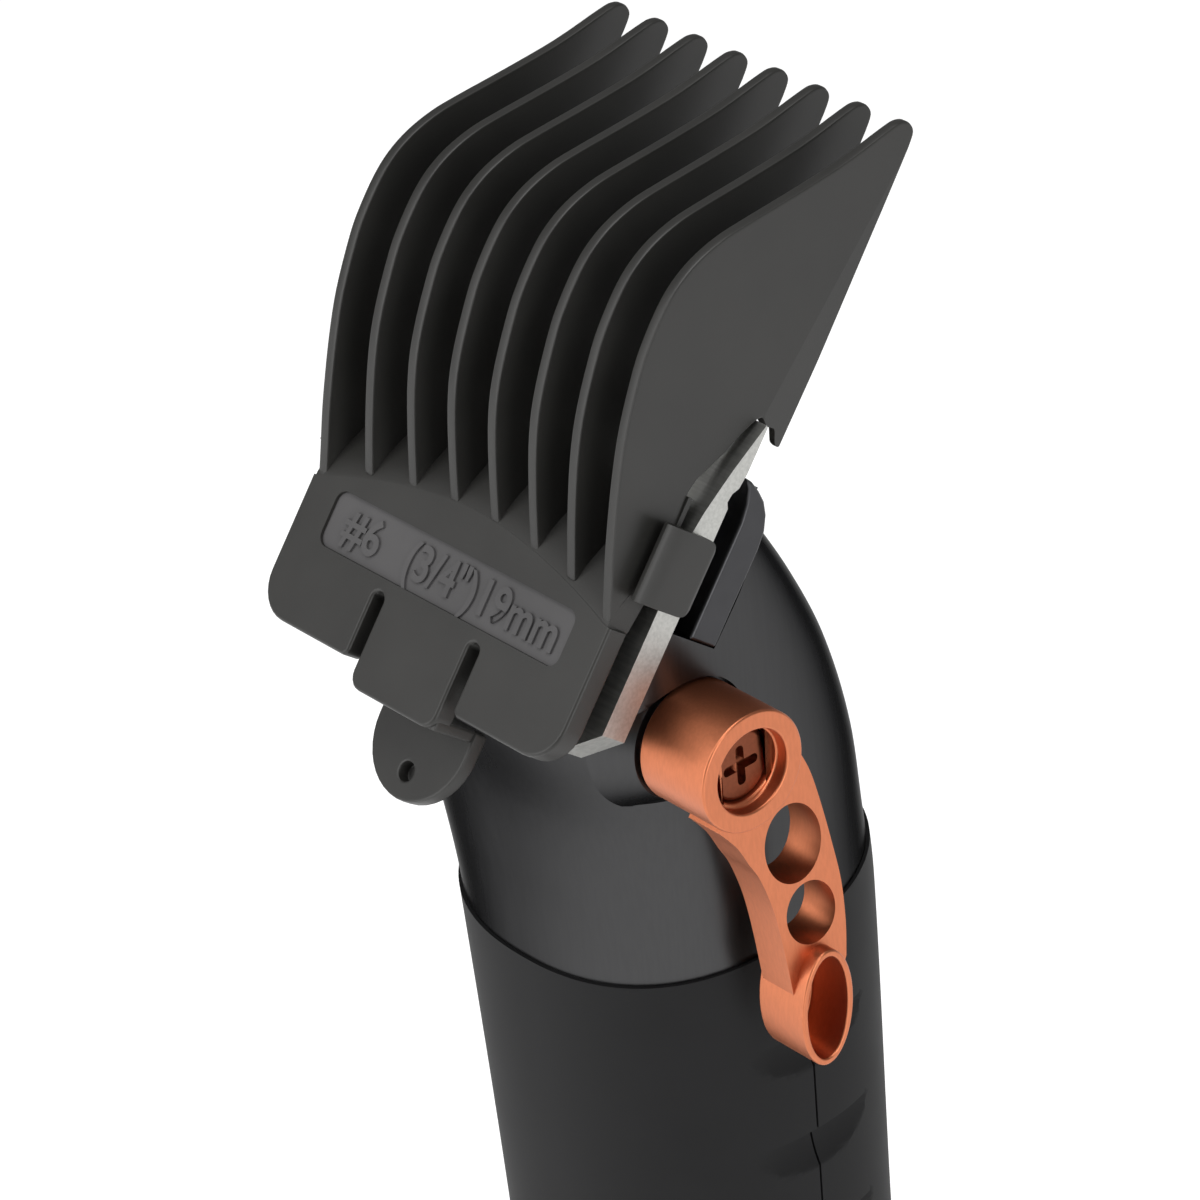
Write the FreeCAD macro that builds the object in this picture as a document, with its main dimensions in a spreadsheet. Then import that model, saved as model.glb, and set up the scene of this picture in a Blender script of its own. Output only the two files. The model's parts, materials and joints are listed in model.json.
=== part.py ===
import FreeCAD, Part
import math
import os
import re
from FreeCAD import Placement, Rotation, Vector

# Hair clipper, in millimetres.
# Row frame: origin at the centre of the flat base, +Z up along the handle, +X towards the taper lever,
# -Y towards the skin side.
# Blade frame, used by everything that sits on the tilted blade: X across, Y from the heel to the cutting
# edge, Z out of the front face of the guard's plate. BLADE places it in the row frame.

SIZES = {
    # blade frame
    "blade_lean": 51.08, "blade_y": -17.78, "blade_z": 161.10,
    # guard comb
    "guard_half": 22.05, "guard_heel": -18.5, "plate_thick": 2.5, "plate_corner": 4.0,
    "arch_side": -4.6, "arch_mid": -0.3, "rib_pitch": 6.0, "rib_thick": 1.2, "rib_count": 8,
    "slot_in": 6.3, "slot_out": 7.9, "slot_top": -11.5, "tongue_end": -20.8, "tongue_inner": -19.5,
    "tab_front": -5.7, "tab_back": -7.4, "tab_end": -28.8, "tab_half": 6.5, "tab_hole": 1.0,
    "tab_hole_y": -26.0, "ear_in": 22.6, "ear_out": 24.0, "ear_low": -1.2, "ear_high": 6.6,
    "ear_back": -6.8, "ear_front": -0.2, "spacer_x": 16.0, "spacer_thick": 1.2, "spacer_back": -4.45,
    # fixed and moving blade
    "fixed_half": 22.3, "fixed_heel": -17.1, "fixed_front": -4.6, "fixed_back": -7.7,
    "fixed_edge": 18.2, "edge_front": -6.8, "fixed_pitch": 1.8, "fixed_teeth": 24, "fixed_slot": 0.8,
    "fixed_root": 11.5, "moving_half": 17.0, "moving_rear": -1.0, "moving_edge": 17.0,
    "moving_front": -7.8, "moving_back": -9.3, "moving_pitch": 1.3, "moving_teeth": 25,
    "moving_slot": 0.6, "moving_root": 12.5,
    # blade mount
    "screw_x": 11.0, "screw_y": -8.5, "screw_radius": 1.5, "screw_head": 2.9,
    "bar_half": 13.5, "bar_heel": -11.2, "bar_top": -3.2, "bar_back": -11.4, "bar_front": -7.75,
    "web_x": 15.4, "web_half": 2.2, "web_low": -7.5, "arm_in": 17.2, "arm_out": 19.0,
    "cheek_low": -2.9, "cheek_high": 13.0, "cheek_front": -10.2, "cheek_back": -14.0,
    # adjuster, spring and drive fork
    "adjust_half": 15.2, "adjust_low": -11.0, "adjust_high": 10.3, "adjust_front": -11.6,
    "adjust_back": -12.8, "window_half": 8.2, "window_low": -4.0, "window_high": 7.6,
    "lug_in": 12.0, "lug_out": 15.0, "lug_low": -13.6, "lug_high": -8.2, "lug_back": -17.6,
    "fork_half": 7.0, "fork_low": -0.5, "fork_high": 5.5, "fork_back": -11.2, "prong_in": 4.6,
    "prong_out": 6.4, "prong_back": -22.0,
    # taper lever and its shaft, in the row frame
    "lever_y": -11.95, "lever_z": 141.32, "hub_radius": 6.15, "hub_inner": 21.05, "hub_face": 30.07,
    "hub_recess": 4.29, "recess_floor": 26.4, "arm_inner": 24.9, "arm_face": 29.3,
    "cup_inner": 24.4, "cup_face": 30.8, "cup_y": -6.07, "cup_z": 112.0, "cup_long": 6.3,
    "cup_short": 3.25, "cup_wall": 0.7, "cup_floor": 25.6, "cup_tilt": -5.0,
    "shaft_radius": 3.0, "shaft_inner": 15.5, "shaft_outer": 24.5, "crank_radius": 1.0,
    "crank_throw": 2.34, "crank_angle": 70.0, "fit_gap": 0.05, "boss_radius": 7.0,
    "boss_face": 20.6, "boss_core": 5.4, "boss_inner": 17.0, "bush_radius": 4.6,
    # drive
    "motor_radius": 11.5, "motor_low": 97.0, "motor_high": 133.0, "motor_boss": 4.5,
    "spindle_radius": 1.15, "throw": 1.2, "hub_low": 138.5, "hub_high": 144.5, "drum_radius": 4.2,
    "pin_radius": 1.0, "pin_high": 150.5, "race_radius": 2.0, "motor_screw_x": 8.0,
    # grip and inside
    "wall": 1.8, "grip_wall": 2.4, "spigot_gap": 2.9, "spigot_wall": 1.6, "spigot_low": 99.0,
    "grip_proud": 0.35, "grip_low": 8.0, "rim_front_z": 110.7, "rim_slope": 9.0, "split_gap": 0.12,
    "cell_radius": 9.1, "cell_y": 4.5, "cell_low": 20.0, "cell_high": 85.0,
    "rail_half": 8.0, "rail_front": -6.4, "rail_back": -5.0, "rail_low": 12.0, "rail_high": 94.5,
    "shelf_back": 12.0,
    "board_front": -9.8, "board_back": -8.2, "board_low": 16.0, "board_high": 88.0,
    "grip_screw_x": 12.5, "grip_screw_low": 24.0, "grip_screw_high": 84.0,
    "switch_z": 52.0, "switch_travel": 6.0, "lamp_z": 33.0, "socket_radius": 4.2, "jack_radius": 2.75,
    "jack_low": 0.8, "jack_high": 9.8, "cap_bevel": 1.0, "cap_screw_x": 6.0, "cap_screw_y": 9.0,
}

# The handle's outline at a few heights: height, half width, front, back, squareness of the section.
STATIONS = {
    "base": (0.0, 18.4, -17.0, 17.0, 2.6),
    "palm": (18.0, 19.0, -17.6, 17.6, 2.5),
    "waist": (60.0, 18.9, -17.5, 17.5, 2.35),
    "collar": (110.0, 20.5, -18.6, 18.5, 2.3),
    "throat": (120.0, 20.9, -18.9, 17.3, 2.45),
    "shoulder": (130.0, 21.3, -19.8, 15.6, 2.7),
    "chin": (141.0, 21.7, -22.2, 12.0, 3.1),
    "brow": (150.0, 22.0, -22.4, 7.5, 3.4),
    "temple": (158.0, 22.2, -22.4, 2.6, 3.7),
    "crown": (166.0, 22.2, -22.4, -2.6, 4.0),
}
STATION_COLUMNS = ("height", "half", "front", "back", "square")

doc = FreeCAD.newDocument("hair_clipper")
sheet = doc.addObject("Spreadsheet::Sheet", "sizes")
nodes = []


def fill_sheet():
    """One row per size: its name, and its value under an alias."""
    table = dict(SIZES)
    for station, values in STATIONS.items():
        for column, value in zip(STATION_COLUMNS, values):
            table[f"{station}_{column}"] = value
    for row, (name, value) in enumerate(table.items(), start=1):
        sheet.set(f"A{row}", name)
        sheet.set(f"B{row}", str(value))
        sheet.setAlias(f"B{row}", name)
    doc.recompute()


fill_sheet()


def size(name):
    return float(sheet.get(name))


def bound(text):
    """An expression on the sheet's cells, from one on plain size names."""
    return re.sub(r"[a-z_]+", lambda word: "sizes." + word.group(), str(text))


def bind(thing, **expressions):
    for name, text in expressions.items():
        thing.setExpression(name, bound(text))
    return thing


def put(thing, at, turn=None):
    """Sets where a primitive stands, its place bound to the sheet."""
    if turn is not None:
        thing.Placement = Placement(Vector(), turn)
    for axis, text in zip("xyz", at):
        thing.setExpression("Placement.Base." + axis, bound(text))
    return thing


def block(name, low, high):
    box = doc.addObject("Part::Box", name)
    bind(box, Length=f"({high[0]})-({low[0]})", Width=f"({high[1]})-({low[1]})",
         Height=f"({high[2]})-({low[2]})")
    return put(box, low)


ALONG = {
    "x": Rotation(Vector(0, 1, 0), 90),
    "y": Rotation(Vector(1, 0, 0), -90),
    "z": Rotation(),
}


def rod(name, radius, start, end, across, along="z"):
    """A cylinder from start to end along one axis; across holds its other two coordinates."""
    cylinder = doc.addObject("Part::Cylinder", name)
    bind(cylinder, Radius=radius, Height=f"({end})-({start})")
    at = list(across)
    at.insert("xyz".index(along), start)
    return put(cylinder, at, ALONG[along])


def fuse(name, *parts):
    joined = doc.addObject("Part::MultiFuse", name)
    joined.Shapes = list(parts)
    return joined


def cut(name, base, *tools):
    hollow = doc.addObject("Part::Cut", name)
    hollow.Base = base
    hollow.Tool = tools[0] if len(tools) == 1 else fuse(name + "_tools", *tools)
    return hollow


def shaped(name, shape, placement=None):
    """A piece whose form no primitive gives; its sizes were read from the sheet."""
    feature = doc.addObject("Part::Feature", name)
    feature.Shape = shape
    if placement is not None:
        feature.Placement = placement
    return feature


def node(thing, label, placement=None):
    if placement is not None:
        thing.Placement = placement
    thing.Label = label
    nodes.append(thing)
    return thing


BLADE = Placement(Vector(0, size("blade_y"), size("blade_z")),
                  Rotation(Vector(1, 0, 0), size("blade_lean")))


def outline(points):
    """A closed wire through corner points; a point given as (middle, end) makes an arc."""
    edges = []
    here = points[0]
    for step in points[1:]:
        if isinstance(step[0], tuple):
            middle, there = step
            edges.append(Part.Arc(Vector(*here), Vector(*middle), Vector(*there)).toShape())
        else:
            there = step
            edges.append(Part.LineSegment(Vector(*here), Vector(*there)).toShape())
        here = there
    edges.append(Part.LineSegment(Vector(*here), Vector(*points[0])).toShape())
    return Part.Wire(edges)


def prism(points, direction):
    return Part.Face(outline(points)).extrude(Vector(*direction))


# ---------------------------------------------------------------- PartDesign helpers

def origin_plane(body, role):
    return next(f for f in body.Origin.OriginFeatures if f.Role == role)


def sketch_on(body, name, role, offset=0.0):
    sketch = body.newObject("Sketcher::SketchObject", name)
    sketch.AttachmentSupport = [(origin_plane(body, role), "")]
    sketch.MapMode = "FlatFace"
    sketch.AttachmentOffset = Placement(Vector(0, 0, offset), Rotation())
    return sketch


def draw(sketch, points):
    """Adds a closed loop of lines and three-point arcs to a sketch."""
    here = points[0]
    for step in points[1:] + [points[0]]:
        if isinstance(step[0], tuple):
            middle, there = step
            arc = Part.Arc(Vector(*here, 0), Vector(*middle, 0), Vector(*there, 0))
            sketch.addGeometry(arc, False)
        else:
            there = step
            sketch.addGeometry(Part.LineSegment(Vector(*here, 0), Vector(*there, 0)), False)
        here = there


def draw_circle(sketch, x, y, radius):
    sketch.addGeometry(Part.Circle(Vector(x, y, 0), Vector(0, 0, 1), radius), False)


def pad(body, name, sketch, length, backwards=False, both=False):
    feature = body.newObject("PartDesign::Pad", name)
    feature.Profile = sketch
    bind(feature, Length=length)
    feature.Reversed = backwards
    feature.Midplane = both
    return feature


def pocket(body, name, sketch, length, backwards=False):
    before = body.Shape.Volume
    feature = body.newObject("PartDesign::Pocket", name)
    feature.Profile = sketch
    bind(feature, Length=length)
    feature.Reversed = backwards
    doc.recompute()
    if feature.Shape.Volume >= before - 1e-6:
        raise RuntimeError(name + " cuts nothing")
    return feature


def pattern_along_x(body, name, feature, length, count):
    rows = body.newObject("PartDesign::LinearPattern", name)
    rows.Originals = [feature]
    rows.Direction = (origin_plane(body, "X_Axis"), [""])
    bind(rows, Length=length, Occurrences=count)
    body.Tip = rows
    doc.recompute()
    return rows


# ---------------------------------------------------------------- guard comb

def rib_outline():
    """One rib seen from the side: the bulged skin face, the pointed tip and the hook over the edge."""
    root = -4.2
    return [
        (root, -1.0), (root, 0.2), ((3.6, 4.1), (12.9, 7.9)), ((22.6, 9.5), (29.4, 7.8)),
        (38.6, -0.7), (48.0, -9.3), ((48.9, -10.7), (47.1, -12.1)), (25.1, -12.4), (17.0, -12.2),
        (17.0, -10.8), (17.9, -9.6), (18.75, -8.2), (18.75, -6.4), (15.6, -5.6), (12.6, -4.9),
        (9.3, -3.6), (0.0, -3.6),
    ]


def make_guard_comb():
    body = doc.addObject("PartDesign::Body", "guard_body")
    half, heel, corner = size("guard_half"), size("guard_heel"), size("plate_corner")
    side, mid = size("arch_side"), size("arch_mid")
    slot_in, slot_out, slot_top = size("slot_in"), size("slot_out"), size("slot_top")
    tongue = size("tongue_end")
    slot_mid = (slot_in + slot_out) / 2
    slot_round = (slot_out - slot_in) / 2
    bend = corner * (1 - math.sqrt(0.5))

    plate = sketch_on(body, "plate_outline", "XY_Plane")
    draw(plate, [
        (-half, side), ((0, mid), (half, side)), (half, heel + corner),
        ((half - bend, heel + bend), (half - corner, heel)),
        (slot_out, heel), (slot_out, slot_top - slot_round),
        ((slot_mid, slot_top), (slot_in, slot_top - slot_round)), (slot_in, tongue),
        (-slot_in, tongue), (-slot_in, slot_top - slot_round),
        ((-slot_mid, slot_top), (-slot_out, slot_top - slot_round)), (-slot_out, heel),
        (corner - half, heel), ((bend - half, heel + bend), (-half, heel + corner)),
    ])
    pad(body, "plate", plate, "plate_thick", backwards=True)

    floor = sketch_on(body, "floor_outline", "YZ_Plane")
    draw(floor, [(-6.0, -1.7), (-5.2, -0.2), (-2.6, -2.3), (9.3, -2.5), (9.3, -3.6), (-3.6, -3.6)])
    pad(body, "rib_floor", floor, "2 * guard_half - 0.8", both=True)

    tongue_wall = sketch_on(body, "tongue_wall_outline", "XY_Plane")
    inner = size("tongue_inner")
    draw(tongue_wall, [(-slot_in, tongue), (slot_in, tongue), (slot_in, inner), (-slot_in, inner)])
    pad(body, "tongue_wall", tongue_wall, "0 - tab_back", backwards=True)

    tab = sketch_on(body, "tab_outline", "XY_Plane", size("tab_front"))
    reach, end = size("tab_half"), size("tab_end")
    draw(tab, [(-reach, inner), (-reach, end + reach), ((0, end), (reach, end + reach)), (reach, inner)])
    draw_circle(tab, 0, size("tab_hole_y"), size("tab_hole"))
    pad(body, "tab", tab, "tab_front - tab_back", backwards=True)

    for name, sign in (("left", -1), ("right", 1)):
        ear = sketch_on(body, f"ear_{name}_outline", "XZ_Plane", -size("ear_low"))
        inside, outside = sign * size("ear_in"), sign * size("ear_out")
        shoulder, front, back = sign * 21.0, size("ear_front"), size("ear_back")
        draw(ear, [(shoulder, front - 0.4), (outside, front - 0.4), (outside, back), (inside, back),
                   (inside, -3.4), (shoulder, -3.4)])
        pad(body, f"ear_{name}", ear, "ear_high - ear_low", backwards=True)
        spacer = sketch_on(body, f"spacer_{name}_outline", "XY_Plane", -1.0)
        near, thick = size("spacer_x") * sign, size("spacer_thick") * sign
        draw(spacer, [(near, -16.0), (near + thick, -16.0), (near + thick, -6.0), (near, -6.0)])
        pad(body, f"spacer_{name}", spacer, "0 - spacer_back - 1", backwards=True)

    rib = sketch_on(body, "rib_profile", "YZ_Plane", -3.5 * size("rib_pitch"))
    draw(rib, rib_outline())
    first = pad(body, "first_rib", rib, "rib_thick", both=True)
    pattern_along_x(body, "ribs", first, "7 * rib_pitch", "rib_count")
    return node(body, "guard_comb", BLADE)


# ---------------------------------------------------------------- blades

def slotted_blade(name, profile, half, pitch, teeth, slot, root, edge, through):
    """A steel plate of the given side profile, with slots that leave teeth along its edge."""
    body = doc.addObject("PartDesign::Body", name + "_body")
    side = sketch_on(body, name + "_profile", "YZ_Plane")
    draw(side, profile)
    pad(body, name + "_plate", side, f"2 * {half}", both=True)
    doc.recompute()
    slots = sketch_on(body, name + "_slot", "XY_Plane", 0.0)
    gaps = size(teeth) - 1
    first = -size(pitch) * (gaps - 1) / 2
    width, inner, outer = size(slot) / 2, size(root), size(edge) + 1
    draw(slots, [
        (first - width, outer), (first - width, inner + width),
        ((first, inner), (first + width, inner + width)), (first + width, outer),
    ])
    first_slot = pocket(body, name + "_first_slot", slots, through)
    pattern_along_x(body, name + "_slots", first_slot, f"{pitch} * ({teeth} - 2)", f"{teeth} - 1")
    return body


def drill_pair(body, name, x, y, radius, depth):
    holes = sketch_on(body, name, "XY_Plane")
    for sign in (-1, 1):
        draw_circle(holes, sign * x, y, radius)
    drilled = pocket(body, name + "_pocket", holes, depth)
    body.Tip = drilled
    return body


def make_blades():
    heel, front, back = size("fixed_heel"), size("fixed_front"), size("fixed_back")
    edge, tip = size("fixed_edge"), size("edge_front")
    profile = [(heel, back), (heel, front - 0.6), (heel + 0.8, front), (9.8, front), (12.6, -5.4),
               (15.6, -6.2), (edge, tip), (edge, back)]
    fixed = slotted_blade("fixed", profile, "fixed_half", "fixed_pitch", "fixed_teeth", "fixed_slot",
                          "fixed_root", "fixed_edge", "20")
    drill_pair(fixed, "fixed_screw_holes", size("screw_x"), size("screw_y"),
               size("screw_radius") + 0.15, "20")
    node(fixed, "fixed_blade", BLADE)

    rear, front, back = size("moving_rear"), size("moving_front"), size("moving_back")
    edge = size("moving_edge")
    profile = [(rear, back), (rear, front), (edge, front), (edge, front - 0.35), (13.2, back)]
    moving = slotted_blade("moving", profile, "moving_half", "moving_pitch", "moving_teeth", "moving_slot",
                           "moving_root", "moving_edge", "20")
    node(moving, "moving_blade", BLADE)


def make_blade_mount():
    parts = [
        block("mount_bar", ("-bar_half", "bar_heel", "bar_back"), ("bar_half", "bar_top", "bar_front")),
        block("mount_lip", ("-arm_out", "cheek_high - 2.2", "-13.9"),
              ("arm_out", "cheek_high - 0.7", "-13.0")),
    ]
    for name, sign in (("left", -1), ("right", 1)):
        inner, outer = sorted((f"{sign} * arm_in", f"{sign} * arm_out"), reverse=sign < 0)
        parts.append(block(f"mount_arm_{name}", (inner, "web_low", "-13.4"),
                           (outer, "cheek_high - 0.7", "cheek_front")))
        parts.append(block(f"mount_web_{name}", (f"{sign} * web_x - web_half", "web_low", "bar_back"),
                           (f"{sign} * web_x + web_half", "bar_top", "bar_front")))
        face = f"{sign} * (arm_out + fixed_half) / 2 - 1.75"
        cheek = block(f"mount_cheek_block_{name}", (face, "cheek_low", "cheek_back"),
                      (face + " + 3.5", "cheek_high", "cheek_front"))
        rounded = doc.addObject("Part::Fillet", f"mount_cheek_{name}")
        rounded.Base = cheek
        doc.recompute()
        ends = [k for k, edge in enumerate(cheek.Shape.Edges, start=1)
                if edge.BoundBox.XLength > 1 and edge.BoundBox.YMin > size("cheek_high") - 0.1]
        rounded.Edges = [(k, 1.5, 1.5) for k in ends]
        parts.append(rounded)
    frame = fuse("mount_frame", *parts)
    holes = [rod(f"mount_hole_{k}", "screw_radius - 0.05", "bar_back - 1", "bar_front + 1",
                 (f"{sign} * screw_x", "screw_y")) for k, sign in enumerate((-1, 1))]
    node(cut("mount_drilled", frame, *holes), "blade_mount", BLADE)


def make_blade_screws():
    """Two pan-head screws with a cross recess."""
    solids = []
    for k, sign in enumerate((-1, 1)):
        across = (f"{sign} * screw_x", "screw_y")
        head = rod(f"blade_screw_head_{k}", "screw_head", "fixed_front", "fixed_front + 1.1", across)
        shank = rod(f"blade_screw_shank_{k}", "screw_radius - 0.05", "bar_back + 0.3", "fixed_front",
                    across)
        slots = cross_recess(f"blade_screw_{k}", across, "fixed_front + 0.4", "fixed_front + 2", 1.6, 0.35)
        solids.append(cut(f"blade_screw_{k}", fuse(f"blade_screw_blank_{k}", head, shank), *slots))
    node(group("blade_screw_pair", solids), "blade_screws", BLADE)


def cross_recess(name, across, low, high, reach, half):
    x, y = across
    return [
        block(name + "_slot_a", (f"{x} - {reach}", f"{y} - {half}", low),
              (f"{x} + {reach}", f"{y} + {half}", high)),
        block(name + "_slot_b", (f"{x} - {half}", f"{y} - {reach}", low),
              (f"{x} + {half}", f"{y} + {reach}", high)),
    ]


def group(name, solids):
    """Identical separate solids kept together as one piece of the list."""
    compound = doc.addObject("Part::Compound", name)
    compound.Links = solids
    return compound


# ---------------------------------------------------------------- adjuster and drive fork

def make_adjuster():
    plate = block("adjust_plate", ("-adjust_half", "adjust_low", "adjust_back"),
                  ("adjust_half", "adjust_high", "adjust_front"))
    lug = block("adjust_lug", ("lug_in", "lug_low", "lug_back"),
                ("lug_out", "lug_high", "adjust_back + 0.2"))
    window = block("adjust_window", ("-window_half", "window_low", "adjust_back - 1"),
                   ("window_half", "window_high", "adjust_front + 1"))
    crank_y, crank_z = crank_centre()
    slot_half = size("crank_radius") + size("fit_gap")
    low, high = crank_z - 0.9, crank_z + 1.0
    x0, x1 = size("lug_in") - 1, size("lug_out") + 1
    slot = prism([
        (x0, crank_y - slot_half, high), ((x0, crank_y, high + slot_half), (x0, crank_y + slot_half, high)),
        (x0, crank_y + slot_half, low), ((x0, crank_y, low - slot_half), (x0, crank_y - slot_half, low)),
    ], (x1 - x0, 0, 0))
    screw_holes = [rod(f"adjust_hole_{k}", "0.85", "adjust_back - 1", "adjust_front + 1",
                       (f"{sign} * 12.8", "adjust_high - 1.3")) for k, sign in enumerate((-1, 1))]
    blank = fuse("adjust_blank", plate, lug)
    plate_cut = cut("adjuster", blank, window, shaped("adjust_slot", slot), *screw_holes)
    node(plate_cut, "adjuster_plate", BLADE)

    base, tip = size("adjust_high") - 0.1, -9.4
    front = size("adjust_front")
    leaf = []
    for sign in (-1, 1):
        inner = min(sign * 10.6, sign * 13.0)
        leaf.append(prism([
            (inner, base, front), (inner, base, front + 0.4), (inner, base - 2.6, front + 0.4),
            (inner, 2.6, tip), (inner, 1.4, tip - 0.5), (inner, 1.4, tip - 0.9), (inner, 2.4, tip - 0.5),
            (inner, base - 2.8, front),
        ], (2.4, 0, 0)))
    strap = Part.makeBox(27.6, 2.4, 0.4, Vector(-13.8, base - 2.4, front))
    spring = strap.fuse(leaf)
    holes = [Part.makeCylinder(0.85, 4, Vector(sign * 12.8, size("adjust_high") - 1.3, front - 2))
             for sign in (-1, 1)]
    node(shaped("spring_leaf", spring.cut(holes).removeSplitter()), "blade_spring", BLADE)

    solids = []
    for k, sign in enumerate((-1, 1)):
        across = (f"{sign} * 12.8", "adjust_high - 1.3")
        head = rod(f"spring_screw_head_{k}", "1.25", "adjust_front + 0.4", "adjust_front + 1.1", across)
        shank = rod(f"spring_screw_shank_{k}", "0.8", "adjust_back", "adjust_front + 0.4", across)
        slots = cross_recess(f"spring_screw_{k}", across, "adjust_front + 0.75", "adjust_front + 2",
                             0.8, 0.18)
        solids.append(cut(f"spring_screw_{k}", fuse(f"spring_screw_blank_{k}", head, shank), *slots))
    node(group("spring_screw_pair", solids), "spring_screws", BLADE)


def crank_centre():
    """Where the lever's crank pin stands at rest, in the blade frame."""
    centre = BLADE.inverse().multVec(Vector(0, size("lever_y"), size("lever_z")))
    turn = math.radians(size("crank_angle"))
    throw = size("crank_throw")
    return centre.y + throw * math.cos(turn), centre.z + throw * math.sin(turn)


def make_drive_fork():
    base = block("fork_base", ("-fork_half", "fork_low", "fork_back"),
                 ("fork_half", "fork_high", "moving_back"))
    prongs = []
    for name, sign in (("left", -1), ("right", 1)):
        middle = f"{sign} * (prong_in + prong_out) / 2"
        half = "(prong_out - prong_in) / 2"
        prongs.append(block(f"fork_prong_{name}", (f"{middle} - {half}", "fork_low", "prong_back"),
                            (f"{middle} + {half}", "fork_high", "fork_back + 0.2")))
    node(fuse("fork", base, *prongs), "drive_fork", BLADE)


# ---------------------------------------------------------------- taper lever

def make_lever():
    y, z = size("lever_y"), size("lever_z")
    inner, face = size("arm_inner"), size("arm_face")
    arm = prism([
        (inner, y - 5.2, z - 3.2), ((inner, y + 0.4, z - 12.6), (inner, -9.0, z - 27.2)),
        (inner, -7.0, z - 31.0), (inner, -3.4, z - 31.0), (inner, -2.0, z - 26.0),
        ((inner, -2.3, z - 13.5), (inner, y + 6.0, z - 0.8)),
    ], (face - inner, 0, 0))
    hub = Part.makeCylinder(size("hub_radius"), size("hub_face") - size("hub_inner"),
                            Vector(size("hub_inner"), y, z), Vector(1, 0, 0))
    cup = oval(size("cup_inner"), size("cup_face"), size("cup_y"), size("cup_z"),
               size("cup_long"), size("cup_short"), size("cup_tilt"))
    body = hub.fuse([arm, cup])
    recess = Part.makeCylinder(size("hub_recess"), 10, Vector(size("recess_floor"), y, z), Vector(1, 0, 0))
    through = Part.makeCylinder(1.6, 20, Vector(size("hub_inner") - 1, y, z), Vector(1, 0, 0))
    socket = Part.makeCylinder(size("shaft_radius"), size("shaft_outer") - size("hub_inner") + 1,
                               Vector(size("hub_inner") - 1, y, z), Vector(1, 0, 0))
    windows = [
        oval(inner - 3, face + 3, -7.36, 130.8, 4.5, 3.42, 13.0),
        oval(inner - 3, face + 3, -5.93, 122.3, 3.65, 2.95, 20.0),
    ]
    wall = size("cup_wall")
    dish = oval(size("cup_floor"), size("cup_face") + 3, size("cup_y"), size("cup_z"),
                size("cup_long") - wall, size("cup_short") - wall, size("cup_tilt"))
    lever = body.cut([recess, through, socket, dish] + windows).removeSplitter()
    node(shaped("lever_body", lever), "taper_lever")


def oval(start, end, y, z, long_radius, short_radius, tilt):
    """An elliptical prism along X, its long axis tilted from +Z towards +Y."""
    lean = math.radians(tilt)
    long_axis = Vector(0, -math.sin(lean), math.cos(lean))
    rim = Part.Ellipse(Vector(start, y, z) + long_axis * long_radius,
                       Vector(start, y, z) + Vector(0, math.cos(lean), math.sin(lean)) * short_radius,
                       Vector(start, y, z))
    return Part.Face(Part.Wire([rim.toShape()])).extrude(Vector(end - start, 0, 0))


def make_lever_fittings():
    across = ("lever_y", "lever_z")
    head = rod("lever_screw_head", "3.5", "recess_floor", "recess_floor + 1.9", across, "x")
    shank = rod("lever_screw_shank", "1.5", "19", "recess_floor", across, "x")
    slots = []
    for name, dy, dz in (("a", 2.1, 0.42), ("b", 0.42, 2.1)):
        slots.append(block(f"lever_screw_slot_{name}",
                           ("recess_floor + 0.7", f"lever_y - {dy}", f"lever_z - {dz}"),
                           ("recess_floor + 3", f"lever_y + {dy}", f"lever_z + {dz}")))
    node(cut("lever_screw_body", fuse("lever_screw_blank", head, shank), *slots), "lever_screw")

    spindle = rod("lever_spindle", "shaft_radius", "shaft_inner", "shaft_outer", across, "x")
    crank_y, crank_z = crank_centre()
    crank = BLADE.multVec(Vector(0, crank_y, crank_z))
    pin = rod("lever_crank", "crank_radius", "lug_in - 0.4", "shaft_inner + 0.5", (crank.y, crank.z), "x")
    thread = rod("lever_thread", "1.5", "18.5", "shaft_outer + 1", across, "x")
    node(cut("lever_spindle_bored", fuse("lever_spindle_blank", spindle, pin), thread), "lever_shaft")

    sleeve = rod("bush_sleeve", "bush_radius", "17.2", "boss_face", across, "x")
    bore = rod("bush_bore", "shaft_radius + fit_gap", "16", "boss_face + 1", across, "x")
    node(cut("bush", sleeve, bore), "lever_bush")
    ring = rod("washer_ring", "5.4", "boss_face + 0.03", "boss_face + 0.38", across, "x")
    hole = rod("washer_hole", "shaft_radius + fit_gap", "boss_face - 1", "boss_face + 1", across, "x")
    node(cut("washer", ring, hole), "lever_washer")


# ---------------------------------------------------------------- handle outline

def station_value(column, height):
    """Smooth value of one column of the outline at any height."""
    names = list(STATIONS)
    heights = [size(f"{name}_height") for name in names]
    values = [size(f"{name}_{column}") for name in names]
    last = len(names) - 1
    slopes = []
    for k in range(len(names)):
        a, b = max(k - 1, 0), min(k + 1, last)
        slopes.append((values[b] - values[a]) / (heights[b] - heights[a]))
    k = min(max(sum(1 for h in heights if h <= height) - 1, 0), last - 1)
    step = heights[k + 1] - heights[k]
    t = (height - heights[k]) / step
    return ((2 * t**3 - 3 * t**2 + 1) * values[k] + (t**3 - 2 * t**2 + t) * step * slopes[k]
            + (3 * t**2 - 2 * t**3) * values[k + 1] + (t**3 - t**2) * step * slopes[k + 1])


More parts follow.
